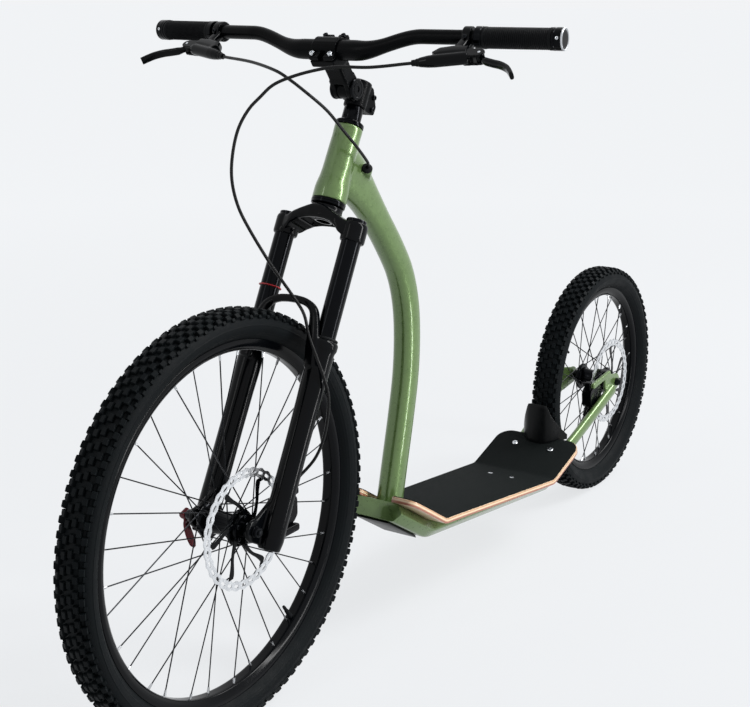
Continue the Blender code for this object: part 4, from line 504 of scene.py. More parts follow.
def linked(name, data):
    """An object in the scene that shows this data."""
    made = bpy.data.objects.new(name, data)
    bpy.context.scene.collection.objects.link(made)
    return made


def plate(loops, thick):
    """A flat plate from closed outlines in millimetres: the first is its edge and the rest are holes."""
    curve = bpy.data.curves.new("plate", "CURVE")
    curve.dimensions = "2D"
    curve.fill_mode = "BOTH"
    curve.extrude = thick * 500
    for loop in loops:
        spline = curve.splines.new("POLY")
        spline.points.add(len(loop) - 1)
        for spot, (x, y) in zip(spline.points, loop):
            spot.co = (x, y, 0, 1)
        spline.use_cyclic_u = True
    made = linked("plate", curve)
    mesh = bpy.data.meshes.new_from_object(made.evaluated_get(bpy.context.evaluated_depsgraph_get()))
    shape = bmesh.new()
    shape.from_mesh(mesh)
    bpy.data.objects.remove(made)
    bpy.data.meshes.remove(mesh)
    shape.transform(Matrix.Scale(0.001, 4))
    return facing_out(shape)


# Pieces


def thing(name, shape):
    mesh = bpy.data.meshes.new(name)
    shape.to_mesh(mesh)
    shape.free()
    return linked(name, mesh)


def settle(made):
    """Makes an object's evaluated shape its own plain mesh."""
    graph = bpy.context.evaluated_depsgraph_get()
    mesh = bpy.data.meshes.new_from_object(made.evaluated_get(graph))
    made.modifiers.clear()
    made.data = mesh
    return made


def cut(made, cuts):
    """Takes closed shapes away from a piece."""
    helper = thing("cutter", merged(cuts))
    cutter = made.modifiers.new("cut", "BOOLEAN")
    cutter.operation = "DIFFERENCE"
    cutter.object = helper
    settle(made)
    bpy.data.objects.remove(helper)
    return made


def cast(name, shapes, voxel, rounds=6, cuts=None):
    """Closed shapes fused into one skin with the soft edges and filled corners of a casting."""
    made = thing(name, merged(shapes))
    skin = made.modifiers.new("skin", "REMESH")
    skin.mode = "VOXEL"
    skin.voxel_size = voxel
    smoothing = made.modifiers.new("smoothing", "SMOOTH")
    smoothing.factor = 0.5
    smoothing.iterations = rounds
    settle(made)
    return cut(made, cuts) if cuts else made


def dress(made, material, body, stands_for=(), sharp=30):
    """Gives a piece its finish, its shading, the body that it moves with and the solids that it stands
    for."""
    if not made.data.materials:
        made.data.materials.append(material)
    made.data.shade_smooth()
    if sharp:
        made.data.set_sharp_from_angle(angle=math.radians(sharp))
    if body:
        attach(made, body)
    if stands_for:
        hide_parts(*stands_for)
    return made


def piece(name, shape, material, body, stands_for=(), sharp=30):
    return dress(thing(name, shape), material, body, stands_for, sharp)


def broken_edges(made, width, segments=2, angle=30):
    """Breaks a piece's sharp edges."""
    bevel = made.modifiers.new("edges", "BEVEL")
    bevel.width = width
    bevel.segments = segments
    bevel.limit_method = "ANGLE"
    bevel.angle_limit = math.radians(angle)
    bevel.harden_normals = False
    return settle(made)


def repeat_tree():
    """Repeats a shape: each copy is one step further on from the centre and turned one turn more on the
    axis."""
    tree = bpy.data.node_groups.new("repeat_with_step_and_turn", "GeometryNodeTree")
    kinds = (
        ("Shape", "Geometry"), ("Count", "Int"), ("Centre", "Vector"), ("Step", "Vector"),
        ("Axis", "Vector"), ("Turn", "Float"), ("Finish", "Material"),
    )
    sockets = {}
    for word, kind in kinds:
        made = tree.interface.new_socket(name=word, in_out="INPUT", socket_type=f"NodeSocket{kind}")
        sockets[word] = made.identifier
    tree.interface.new_socket(name="Shape", in_out="OUTPUT", socket_type="NodeSocketGeometry")
    given = add(tree, "NodeGroupInput").outputs
    line = {"Count": given["Count"], "Start Location": given["Centre"], "Offset": given["Step"]}
    spots = add(tree, "GeometryNodeMeshLine", line, mode="OFFSET")
    index = add(tree, "GeometryNodeInputIndex").outputs[0]
    angle = add(tree, "ShaderNodeMath", {0: index, 1: given["Turn"]}, operation="MULTIPLY")
    spin = add(tree, "FunctionNodeAxisAngleToRotation", {"Axis": given["Axis"], "Angle": angle.outputs[0]})
    copies = {"Points": spots.outputs[0], "Instance": given["Shape"], "Rotation": spin.outputs[0]}
    placed = add(tree, "GeometryNodeInstanceOnPoints", copies)
    real = add(tree, "GeometryNodeRealizeInstances", {0: placed.outputs[0]})
    done = add(tree, "GeometryNodeSetMaterial", {"Geometry": real.outputs[0], "Material": given["Finish"]})
    add(tree, "NodeGroupOutput", {0: done.outputs[0]})
    return tree, sockets


REPEAT, REPEAT_SOCKETS = repeat_tree()


def repeated(name, shape, material, count, centre=(0, 0, 0), step=(0, 0, 0), axis=(0, 1, 0), degrees=0.0):
    """Copies of a small shape in a row or a ring, as one plain mesh."""
    made = thing(name, shape)
    modifier = made.modifiers.new("repeat", "NODES")
    modifier.node_group = REPEAT
    values = {"Count": count, "Centre": centre, "Step": step, "Axis": axis, "Turn": math.radians(degrees)}
    values["Finish"] = material
    for word, value in values.items():
        modifier[REPEAT_SOCKETS[word]] = tuple(value) if isinstance(value, Vector) else value
    return settle(made)


# Wheels


def tyre_carcass(radius):
    """A tyre's section turned round the axle: smooth crown, full flanks with fine rings, beads in the rim."""
    rim_top = radius - TYRE_HEIGHT + RIM_RISE
    height = radius - rim_top
    half = [
        (0.89, 0), (0.887, 6), (0.872, 12), (0.84, 17.5), (0.78, 22.3), (0.70, 25.8), (0.58, 28), (0.42, 28.4)
    ]
    half += [(0.26, 26), (0.14, 21.8), (0.05, 17.2), (0.0, 14.6), (-0.06, 13.6)]
    route = [(rim_top + share * height, y / 1000) for share, y in half]
    path = smooth_path(route, 0.0011)
    outer = []
    for point in path:
        above = (point.x - rim_top) / height
        ring = any(abs(above - place) < 0.014 for place in (0.09, 0.16, 0.24, 0.47))
        outer.append((point.x + (0.0003 if ring else 0), point.y + (0.0006 if ring else 0)))
    inner = [
        (radius - 0.0085, 0), (radius - 0.0125, 0.017), (rim_top + 0.42 * height, 0.0252), (rim_top, 0.0112)
    ]
    side = outer + inner[::-1]
    section = [(r, -y) for r, y in outer[::-1] if y > 0] + side[: len(outer)] + inner[::-1]
    section += [(r, -y) for r, y in inner if y > 0]
    return turned(section, WHEEL_STEPS)


def knob(radius, lift, y, lean, width, length, height, behind=0.0):
    """One tread block on the crown at this offset, its top narrowed and its rim broken."""
    base, top = 0.5, 0.42
    rings = []
    for share, reach in (
        (base, -0.002), (base * 0.97, height * 0.5), (top, height - 0.0005), (top * 0.9, height)
    ):
        half_width, half_length = share * width, share * length
        rings.append(
            [(reach, half_width * a, half_length * b) for a, b in ((1, 1), (-1, 1), (-1, -1), (1, -1))]
        )
    shape = loft(rings)
    shape.transform(shift(radius - lift, y, 0) @ Matrix.Rotation(math.radians(lean), 4, "Z"))
    return moved(shape, Matrix.Rotation(-behind, 4, "Y"))


def tread_cell(radius, pitch):
    """The tread blocks of one pitch: a centre pair, a staggered pair beside it and the shoulders."""
    blocks = []
    for side in (-1, 1):
        blocks.append(
            knob(radius, 0.0053, side * 0.0058, side * 4, 0.0088, 0.0125, 0.0049, 0.1 * side * pitch)
        )
        blocks.append(knob(radius, 0.0066, side * 0.0150, side * 16, 0.0082, 0.0115, 0.0058, 0.5 * pitch))
        blocks.append(knob(radius, 0.0096, side * 0.0220, side * 42, 0.0080, 0.0110, 0.0060, 0.04 * pitch))
        blocks.append(knob(radius, 0.0120, side * 0.0246, side * 60, 0.0060, 0.0075, 0.0034, 0.54 * pitch))
    return merged(blocks)


def rim_section(bead):
    """A hollow box rim: tall sides hooked at the bead, a narrow inner face towards the spokes."""
    half = [
        (bead + 0.0056, 0.0137), (bead + 0.0058, 0.0155), (bead - 0.0010, 0.0155),
        (bead - 0.0062, 0.0138), (bead - 0.0115, 0.0098), (bead - RIM_DEPTH, 0.0060),
    ]
    outer = [Vector(point) for point in half]
    bed = [Vector((bead - 0.0020, 0.0)), Vector((bead - 0.0020, 0.0125)), Vector((bead + 0.0050, 0.0137))]
    outline = outer + [Vector((point.x, -point.y)) for point in outer[::-1]]
    outline += [Vector((point.x, -point.y)) for point in bed[::-1] if point.y] + bed
    return [(point.x, point.y) for point in rounded(outline, 0.0016, 3)]


def spoke_ends(radius, side, index):
    """Where a spoke leaves its flange and where it meets the rim, in the wheel's own plane."""
    direction = 1 if index % 2 else -1
    start = 2 * math.pi * (index + 0.25 * side) / SPOKES_A_SIDE
    end = start + direction * math.radians(SPOKE_TURN)
    height = side * (HUB_FLANGE_Y + direction * 0.0025)
    rim = radius - TYRE_HEIGHT - RIM_DEPTH
    inner = Vector((SPOKE_CIRCLE * math.cos(start), SPOKE_CIRCLE * math.sin(start), height))
    return inner, Vector((rim * math.cos(end), rim * math.sin(end), side * 0.0039))


def hub_shell():
    """A waisted barrel between two flanges, with the rotor's seat on the left and a cap at each
    end."""
    profile = [
        (0.0049, -0.0468), (0.0112, -0.0468), (0.0125, -0.0455), (0.0125, -0.0385), (0.0165, -0.0372),
        (0.0205, -0.0318), (0.0278, -0.0315), (0.0290, -0.0300), (0.0290, -0.0268), (0.0276, -0.0255),
        (0.0215, -0.0248), (0.0190, -0.0190), (0.0178, 0.0), (0.0190, 0.0190), (0.0215, 0.0248),
        (0.0276, 0.0255), (0.0290, 0.0268), (0.0290, 0.0300), (0.0278, 0.0315), (0.0238, 0.0317),
        (0.0238, 0.0372), (0.0125, 0.0374), (0.0125, 0.0455), (0.0112, 0.0468), (0.0049, 0.0468),
    ]
    return turned(profile, 64)


def wave_ring(radius, swing, count, phase=0.0, points=288):
    """A closed ring in millimetres whose radius swings in and out."""
    found = []
    for i in range(points):
        a = 2 * math.pi * i / points
        reach = radius + swing * math.cos(count * a + phase)
        found.append((reach * math.cos(a), reach * math.sin(a)))
    return found


def slot_outline(radius, middle, half_length, half_width, tilt=0.0):
    """A round-ended slot lying along a ring, in millimetres."""
    found = []
    for i in range(12):
        a = 2 * math.pi * (i + 0.5) / 12
        u = math.copysign(half_length - half_width, math.cos(a)) + half_width * math.cos(a)
        v = half_width * math.sin(a) + tilt * u
        reach = radius + v
        found.append((reach * math.cos(middle + u / radius), reach * math.sin(middle + u / radius)))
    return found


def rotor_track():
    """The braking ring: wavy on both edges, with a long slot in each link."""
    loops = [wave_ring(93.9, 1.1, ROTOR_LINKS), wave_ring(80.4, 1.1, ROTOR_LINKS, math.pi)[::-1]]
    for i in range(ROTOR_LINKS):
        loops.append(slot_outline(87.2, 2 * math.pi * i / ROTOR_LINKS, 5.6, 2.5))
    return plate(loops, 0.0020)


def rotor_arm():
    """One hooked arm from the carrier out to its rivet on the braking ring."""
    stops = [(19.0, -6), (30, 2), (46, 16), (62, 26), (74, 29), (RIVET_REACH, RIVET_ANGLE)]
    route = [(r * math.cos(math.radians(a)), r * math.sin(math.radians(a)), 0) for r, a in stops]
    path = smooth_path(route, 3.0)
    left, right = [], []
    for i, point in enumerate(path):
        share = i / (len(path) - 1)
        ahead = (path[min(i + 1, len(path) - 1)] - path[max(i - 1, 0)]).normalized()
        square = Vector((-ahead.y, ahead.x, 0))
        half = 5.0 - 2.4 * math.sin(math.pi * min(1, share * 1.15)) if share < 0.87 else 2.9
        left.append(point + square * half)
        right.append(point - square * half)
    end, ahead = path[-1], (path[-1] - path[-2]).normalized()
    square = Vector((-ahead.y, ahead.x, 0))
    tip = [end + ahead * 2.9 * math.sin(a) + square * 2.9 * math.cos(a) for a in (0.5, 1.0, 1.57, 2.1, 2.6)]
    return plate([[(p.x, p.y) for p in left + tip + right[::-1]]], 0.0018)


def tyre_and_rim(side, body, spin, radius):
    knobs = round(2 * math.pi * radius / KNOB_PITCH)
    carcass = moved(tyre_carcass(radius), spin @ ALONG_Y)
    piece(f"{side}_tyre_carcass", carcass, TYRE_RUBBER, body, [f"{side}_tyre"], 50)
    cell = tread_cell(radius, 2 * math.pi / knobs)
    tread = repeated(f"{side}_tyre_knobs", cell, TYRE_RUBBER, knobs, spin.translation, degrees=360 / knobs)
    dress(tread, TYRE_RUBBER, body, sharp=25)
    hoop = moved(turned(rim_section(radius - TYRE_HEIGHT), WHEEL_STEPS), spin @ ALONG_Y)
    piece(f"{side}_rim_hoop", hoop, BLACK_LACQUER, body, [f"{side}_rim"], 40)


def spokes_and_hub(side, body, spin, radius):
    level = spin.to_3x3().to_4x4() @ ALONG_Y
    nipple = [(0, -0.001), (0.0024, -0.001), (0.0021, 0.003), (0.0017, 0.009), (0, 0.009)]
    spokes, nipples = [], []
    for flank in (-1, 1):
        for index in (0, 1):
            inner, outer = spoke_ends(radius, flank, index)
            spokes.append(swept([inner, outer], circle(0.00105, 6)))
            nipples.append(along(turned(nipple, 8), outer, (inner - outer).normalized()))
    for word, shapes, metal, sharp in (("spokes", spokes, BLACK_STEEL, 60), ("nipples", nipples, NICKEL, 30)):
        cell = moved(merged(shapes), level)
        made = repeated(
            f"{side}_{word}", cell, metal, SPOKE_CELLS, spin.translation, degrees=360 / SPOKE_CELLS
        )
        dress(made, metal, body, sharp=sharp)
    shell = moved(hub_shell(), spin @ ALONG_Y)
    piece(f"{side}_hub_shell", shell, BLACK_ANODISED, body, [f"{side}_hub_and_spokes"])


def valve(side, body, spin, radius, degrees):
    outward = Vector((math.cos(math.radians(degrees)), 0, math.sin(math.radians(degrees))))
    stem = [
        (0, 0), (0.0024, 0), (0.0029, 0.004), (0.0029, 0.012), (0.0036, 0.0125), (0.0040, 0.022),
        (0.0046, 0.030), (0.0050, 0.0305), (0.0050, 0.0335), (0, 0.0335),
    ]
    foot = spin.translation + outward * (radius - TYRE_HEIGHT - RIM_DEPTH - 0.030)
    shape = along(turned(stem, 24), foot, outward)
    piece(f"{side}_valve_stem", shape, GRIP_RUBBER, body, [f"{side}_valve"])


def rotor(side, body, spin):
    """Braking ring, and on it in turn the arms, the carrier ring, rivets and screws."""
    plane = spin @ shift(0, ROTOR_Y, 0) @ ALONG_Y
    level = shift(0, ROTOR_Y, 0) @ spin.to_3x3().to_4x4() @ ALONG_Y

    def around(word, shape, metal):
        cell = moved(shape, level)
        made = repeated(
            f"{side}_rotor_{word}", cell, metal, ROTOR_ARMS, spin.translation, degrees=360 / ROTOR_ARMS
        )
        dress(made, metal, body)

    piece(
        f"{side}_rotor_track", moved(rotor_track(), plane), ROTOR_STEEL, body,
        [f"{side}_rotor"],
    )
    around("arms", rotor_arm(), BLACK_ANODISED)
    ring = [
        (0.0128, -0.0011), (0.0235, -0.0011), (0.0240, -0.0006), (0.0240, 0.0006), (0.0235, 0.0011),
        (0.0128, 0.0011),
    ]
    piece(f"{side}_rotor_carrier", moved(turned(ring, 64), plane), BLACK_ANODISED, body)
    angle = math.radians(RIVET_ANGLE)
    place = (RIVET_REACH * math.cos(angle) / 1000, RIVET_REACH * math.sin(angle) / 1000, 0)
    around("rivets", along(cylinder(0.0021, -0.00102, 0.00102, 0.0002, 16), place, (0, 0, 1)), BRIGHT_STEEL)
    around("screws", along(socket_bolt(0.0036, 0.0022, 0.0026), (0.0195, 0, 0.0011), (0, 0, 1)), BLACK_STEEL)


for side, spin, radius, valve_angle in (
    ("front", FRONT, FRONT_RADIUS, 233.5), ("rear", REAR, REAR_RADIUS, 33.5)
):
    tyre_and_rim(side, f"{side}_wheel", spin, radius)
    spokes_and_hub(side, f"{side}_wheel", spin, radius)
    valve(side, f"{side}_wheel", spin, radius, valve_angle)
    rotor(side, f"{side}_wheel", spin)

# Brakes


def caliper(side, body, plane):
    """Two halves over the rotor, joined above it, with piston caps, ears with their screws, and the hose
    port."""
    shapes = []
    outline = [(0.066, -0.0165), (0.073, -CALIPER_EDGE), (0.108, -CALIPER_EDGE), (0.118, -0.014)]
    outline += [(x, -z) for x, z in outline[::-1]]
    outline = rounded(outline, 0.006)
    for low, high in ((-0.0110, -0.0054), (0.0054, 0.0110)):
        shapes.append(side_prism(outline, low, high))
    roof = [(0.0992, -CALIPER_EDGE), (0.108, -CALIPER_EDGE), (0.118, -0.014)]
    roof += [(x, -z) for x, z in roof[::-1]]
    shapes.append(side_prism(rounded(roof, 0.004), -0.0108, 0.0108))
    shapes.append(block((0.098, -0.0078, -0.0362), (0.112, 0.0078, 0.0362), 0.005))
    for way in (1, -1):
        shapes.append(along(cylinder(0.0130, 0.010, 0.0128, 0.0012), (0.086, 0, 0), (0, way, 0)))
    port = [
        (0, 0), (0.0064, 0), (0.0064, 0.014), (0.0052, 0.016), (0.0052, 0.0225), (0.0046, 0.0298), (0, 0.0298)
    ]
    shapes.append(along(turned(port, 32), CALIPER_PORT, CALIPER_PORT_AXIS))
    made = cast(f"{side}_caliper_body", [moved(shape, plane) for shape in shapes], 0.0007, 4)
    dress(made, BLACK_LACQUER, body, [f"{side}_caliper"], 0)
    bolt = along(socket_bolt(0.0044, 0.0040, 0.0034), (0.105, -0.0078, -0.030), (0, -1, 0))
    spots = repeated(
        f"{side}_caliper_bolts", moved(bolt, plane.to_quaternion().to_matrix().to_4x4()), BLACK_STEEL, 2,
        plane.translation, plane.to_3x3() @ Vector((0, 0, 0.060)),
    )
    dress(spots, BLACK_STEEL, body)
    cap = along(socket_bolt(0.0085, 0.0016, 0.0042, 0.6), (0.086, 0.0126, 0), (0, 1, 0))
    piece(f"{side}_piston_cap", moved(cap, plane), BLACK_ANODISED, body)


caliper("front", "lowers", FRONT @ shift(0, ROTOR_Y, 0) @ turn(FRONT_CALIPER))
caliper("rear", "frame", REAR @ shift(0, ROTOR_Y, 0) @ turn(REAR_CALIPER))

# Fork


def bracket_posts(thick, lower, upper):
    """The two posts that a caliper's ears are screwed to, in the caliper's own plane."""
    far = DROPOUT_Y + thick - ROTOR_Y
    return [
        block((lower, 0.0083, -0.0362), (0.112, far, -0.0242), 0.003),
        block((upper, 0.0083, 0.0242), (0.112, far, 0.0362), 0.003),
    ]


def fork_leg(side):
    """A cast leg: narrow foot, slight waist, wider below the collar with its seal lip."""
    r = LEG_RADIUS
    profile = [
        (0, LEG_FOOT), (r - 0.0045, LEG_FOOT), (r - 0.003, LEG_FOOT + 0.0015), (r - 0.0008, LEG_FOOT + 0.016),
        (r - 0.0014, 0.06), (r - 0.0016, 0.15), (r - 0.0010, 0.21), (r, 0.245), (r, 0.2905), (0.0214, 0.2935),
        (0.0226, 0.2955), (0.0228, 0.3040), (0.0222, 0.3060), (0.0205, 0.3070), (0.0205, 0.3095), (0, 0.3095),
    ]
    return moved(turned(profile, 64), shift(LEG_FORWARD, side * LEG_Y, 0))


def fork_arch():
    """The brace over the wheel: a flat-topped bow whose cheeks flare down onto the legs."""
    half = [
        (0.0190, 0.0635, 0.262), (0.0222, 0.0600, 0.288), (0.0240, 0.0566, 0.309), (0.0245, 0.0524, 0.330),
        (0.0245, 0.0470, 0.3462), (0.0245, 0.0385, 0.3552), (0.0245, 0.0255, 0.3607),
        (0.0245, 0.0120, 0.3627), (0.0245, 0.0, 0.3630),
    ]
    route = half + [(x, -y, z) for x, y, z in half[-2::-1]]
    path = smooth_path(route, 0.004)
    sections = []
    for point in path:
        flare = min(1, max(0, (0.358 - point.z) / 0.06))
        sections.append(oval(0.0064 + 0.0016 * flare, 0.0061 + 0.0052 * flare, 20, 3.2))
    return swept(path, sections, (1, 0, 0))


def dropout_lug(side):
    outline = arc(FORK_RAKE, 0, 0.0176, -100, 80, 16)
    outline += [(0.013, 0.058), (-0.006, 0.052), (-0.006, -0.018)]
    low, high = sorted((side * (DROPOUT_Y + 0.0002), side * (DROPOUT_Y + 0.0080)))
    return side_prism(outline, low, high)


legs = [fork_leg(-1), fork_leg(1), fork_arch(), dropout_lug(-1), dropout_lug(1)]
posts = [
    moved(post, shift(FORK_RAKE, ROTOR_Y, 0) @ turn(FRONT_CALIPER))
    for post in bracket_posts(0.008, 0.062, 0.034)
]
reliefs = []
for side in (-1, 1):
    line = STEERING @ shift(LEG_FORWARD, side * LEG_Y, 0)
    reliefs.append(moved(cylinder(0.0191, 0.3098, 0.440, 0.0001, 64), line))
lowers = cast("fork_legs_and_arch", [moved(shape, STEERING) for shape in legs + posts], 0.0015, 7, reliefs)
dress(lowers, BLACK_LACQUER, "lowers", ["fork_lowers"], 50)

for side, word in ((1, "left"), (-1, "right")):
    leg_line = STEERING @ shift(LEG_FORWARD, side * LEG_Y, 0)
    wall = [(0.0142, 0.150), (0.0160, 0.150), (0.0160, 0.4990), (0.0142, 0.4990)]
    tube = moved(turned(wall, 64), leg_line)
    piece(f"stanchion_{word}_tube", tube, BLACK_ANODISED, "steering", [f"stanchion_{word}"])
    seal = [
        (0.0161, 0.3092), (0.0203, 0.3092), (0.0206, 0.3100), (0.0206, 0.3112), (0.0196, 0.3124),
        (0.0178, 0.3132), (0.0161, 0.3134),
    ]
    piece(f"leg_seal_{word}", moved(turned(seal, 64), leg_line), GRIP_RUBBER, "lowers")
    foot = along(socket_bolt(0.0075, 0.0020, 0.005), (0, 0, LEG_FOOT), (0, 0, -1))
    piece(f"leg_foot_bolt_{word}", moved(foot, leg_line), BLACK_ANODISED, "lowers")
    cap = [
        (0, 0.4995), (0.0164, 0.4995), (0.0164, 0.5042), (0.0156, 0.5052), (0.0122, 0.5056), (0.0114, 0.5048),
        (0, 0.5048),
    ]
    piece(f"crown_cap_{word}", moved(turned(cap, 64), leg_line), BLACK_ANODISED, "steering")
    nut = along(socket_bolt(0.0078, 0.0017, 0.006, 0.25), (0, 0, 0.5047), (0, 0, 1))
    piece(f"crown_cap_nut_{word}", moved(nut, leg_line), BLACK_STEEL, "steering")

ring_section = [(0.01745 + x, 0.381 + z) for x, z in circle(0.0012, 12)]
ring = moved(turned(ring_section, 48), STEERING @ shift(LEG_FORWARD, -LEG_Y, 0))
piece("travel_ring", ring, RED_RUBBER, "steering", ["travel_o_ring"], 0)


def crown_bridge():
    """The arched middle of the crown: low between the legs' sockets and high under the head tube."""
    rows = [
        (0.065, 0.4735, 0.4985, -0.0120, 0.0215), (0.055, 0.4748, 0.4998, -0.0150, 0.0255),
        (0.048, 0.4790, 0.5022, -0.0190, 0.0285), (0.042, 0.4855, 0.5055, -0.0220, 0.0300),
        (0.030, 0.4930, 0.5110, -0.0250, 0.0310), (0.018, 0.4960, 0.5157, -0.0270, 0.0320),
        (0.008, 0.4968, 0.5190, -0.0280, 0.0330), (0.0, 0.4970, 0.5197, -0.0280, 0.0330),
    ]
    rings = []
    order = [(1, row) for row in rows] + [(-1, row) for row in rows[-2::-1]]
    for side, (y, low, high, back, front) in order:
        corners = [(back, low), (front, low), (front, high), (back, high)]
        rings.append([(point.x, side * y, point.y) for point in rounded(corners, 0.007, 5)])
    return loft(rings)


crown_parts = [crown_bridge()]
for side in (-1, 1):
    profile = [
        (0, CROWN_BOTTOM), (0.0176, CROWN_BOTTOM), (0.0190, 0.4698), (0.0195, 0.4730), (0.0195, 0.4945),
        (0.0188, 0.4980), (0.0172, CROWN_TOP), (0, CROWN_TOP),
    ]
    socket = shift(LEG_FORWARD - 0.0012, side * LEG_Y, 0) @ Matrix.Scale(1.07, 4, (1, 0, 0))
    crown_parts.append(moved(turned(profile, 64), socket))
crown_parts.append(cylinder(0.0258, 0.499, 0.5230, 0.001))
hollow = [block((-0.0205, -0.029, 0.460), (0.0245, 0.029, 0.5020), 0.006)]
hollow += [
    moved(cylinder(0.0163, 0.440, 0.4950, 0.0001), shift(LEG_FORWARD, side * LEG_Y, 0)) for side in (-1, 1)
]
crown_parts = [moved(shape, STEERING) for shape in crown_parts]
crown = cast("fork_crown_cast", crown_parts, 0.0011, 6, [moved(shape, STEERING) for shape in hollow])
dress(crown, BLACK_LACQUER, "steering", ["fork_crown"], 50)

# Headset and steerer


def headset_ring(word, face, far, radius):
    sign = 1 if far > face else -1
    tall = abs(far - face)
    profile = [
        (0.0147, face), (radius, face), (radius + 0.0002, face + sign * 0.0008),
        (radius, face + sign * 0.38 * tall),
    ]
    profile += [(radius - 0.0006, face + sign * 0.42 * tall), (radius - 0.0006, face + sign * 0.50 * tall)]
    profile += [
        (radius, face + sign * 0.54 * tall), (radius - 0.0002, far - sign * 0.0012), (radius - 0.0016, far),
        (0.0147, far),
    ]
    ring = moved(turned(profile, 64), STEERING)
    piece(f"headset_ring_{word}", ring, BLACK_ANODISED, "frame", [f"headset_{word}"])


headset_ring("lower", HEAD_LOW - FIT, HEAD_LOW - 0.0088, 0.0279)
headset_ring("upper", HEAD_HIGH + FIT, HEAD_HIGH + 0.0078, 0.0232)
sleeve = [(0.0118, 0.498), (0.0143, 0.498), (0.0143, 0.6668), (0.0158, 0.6670), (0.0160, 0.6676)]
sleeve += [(0.0160, 0.6908), (0.0158, 0.6914), (0.0143, 0.6916), (0.0143, 0.7330), (0.0118, 0.7330)]
steerer = moved(turned(sleeve, 64), STEERING)
piece("steerer_with_spacer", steerer, BLACK_ANODISED, "steering", ["steerer_tube"])

# Axles and the quick lever


def axle_set(name, matrix, thick, body, node, left, right):
    """Shaft, inner collars, and a nut or a round head outside each dropout."""
    out = DROPOUT_Y + thick + 0.0004
    shapes = [along(cylinder(0.0045, -out - 0.009, out + 0.0115, 0.0006, 24), (0, 0, 0), (0, 1, 0))]
    for side, kind in ((1, left), (-1, right)):
        shapes.append(along(cylinder(0.0080, 0.0470, 0.0497, 0.0005), (0, 0, 0), (0, side, 0)))
        shapes.append(along(cylinder(0.0088, out, out + 0.0018, 0.0004), (0, 0, 0), (0, side, 0)))
        if kind == "nut":
            levels = ((out + 0.0018, 0.0145), (out + 0.0070, 0.0145), (out + 0.0080, 0.0145 - 0.0012))
            nut = [[(x, y, z) for x, y in hexagon(flats)] for z, flats in levels]
            shapes.append(along(loft(nut), (0, 0, 0), (0, side, 0)))
        else:
            profile = [(0, out), (0.0080, out), (0.0088, out + 0.002), (0.0088, out + 0.0105)]
            profile += [(0.0074, out + 0.0148), (0, out + 0.0154)]
            shapes.append(along(turned(profile, 48), (0, 0, 0), (0, side, 0)))
    piece(name, moved(merged(shapes), matrix), BLACK_STEEL, body, [node])


axle_set("rear_axle_and_nuts", REAR, 0.006, "frame", "rear_axle", "nut", "nut")
axle_set("front_axle_and_head", FRONT, 0.008, "lowers", "front_axle", "nut", "head")

hinge = FRONT @ shift(0, -0.0799, 0) @ turn(-222.3) @ turn(180, "X")
PADDLE_END = 0.0700
stops = [(0.002, 0), (0.011, 0.001), (0.019, 0.0043), (0.032, 0.0062), (0.047, 0.0065), (0.060, 0.0058)]
route = smooth_path([(x, y, 0) for x, y in stops + [(PADDLE_END, 0.0046)]], 0.002)
paddle = []
for point in route:
    share = point.x / PADDLE_END
    half = 0.0056 + 0.0021 * math.sin(math.pi * min(1, share) ** 1.6) - 0.0030 * max(0, share - 0.90) / 0.10
    paddle.append(oval(half, 0.0021 - 0.0006 * max(0, share - 0.9) / 0.1, 24, 3.0))
lever_shapes = [cylinder(0.0057, -0.0079, 0.0079, 0.0008), swept(route, paddle, (0, 0, 1))]
lever = cast("quick_lever", [moved(shape, hinge) for shape in lever_shapes], 0.0005, 4)
dress(lever, RED_ANODISED, "axle_lever", ["front_axle_lever"], 0)

# Stem

lug = [(-0.010, 0.693), (-0.040, 0.695), (-0.0415, 0.7095), (-0.022, 0.735), (-0.010, 0.735)]
tongue = arc(STEM_PIVOT_X, STEM_PIVOT_Z, 0.0155, -110, 110, 20) + [(0.010, 0.724), (0.010, 0.696)]
base_shapes = [
    cylinder(0.0185, 0.692, 0.7358, 0.0012, 64), side_prism(rounded(lug, 0.004), -0.012, 0.012),
    side_prism(tongue, -0.0085, 0.0085),
]
slit = block((-0.050, -0.0009, 0.680), (-0.0152, 0.0009, 0.745), 0.0002)
base = cast(
    "stem_base_clamp", [moved(shape, STEERING) for shape in base_shapes], 0.0008, 4, [moved(slit, STEERING)]
)
dress(base, BLACK_SATIN, "steering", ["stem_base"], 40)
clamp_bolt = along(socket_bolt(0.0042, 0.0035, 0.0032), (-0.031, 0.012, 0.7015), (0, 1, 0))
clamp_bolts = repeated(
    "stem_base_bolts", moved(clamp_bolt, STEERING.to_3x3().to_4x4()), BLACK_STEEL, 2, STEERING.translation,
    STEERING.to_3x3() @ Vector((0.003, 0, 0.020)),
)
dress(clamp_bolts, BLACK_STEEL, "steering")
top_cap = [
    (0, 0.7330), (0.0142, 0.7330), (0.0142, 0.7362), (0.0134, 0.7368), (0.0060, 0.7368), (0.0054, 0.7360),
    (0, 0.7360),
]
piece("stem_top_cap", moved(turned(top_cap, 64), STEERING), BLACK_ANODISED, "steering")

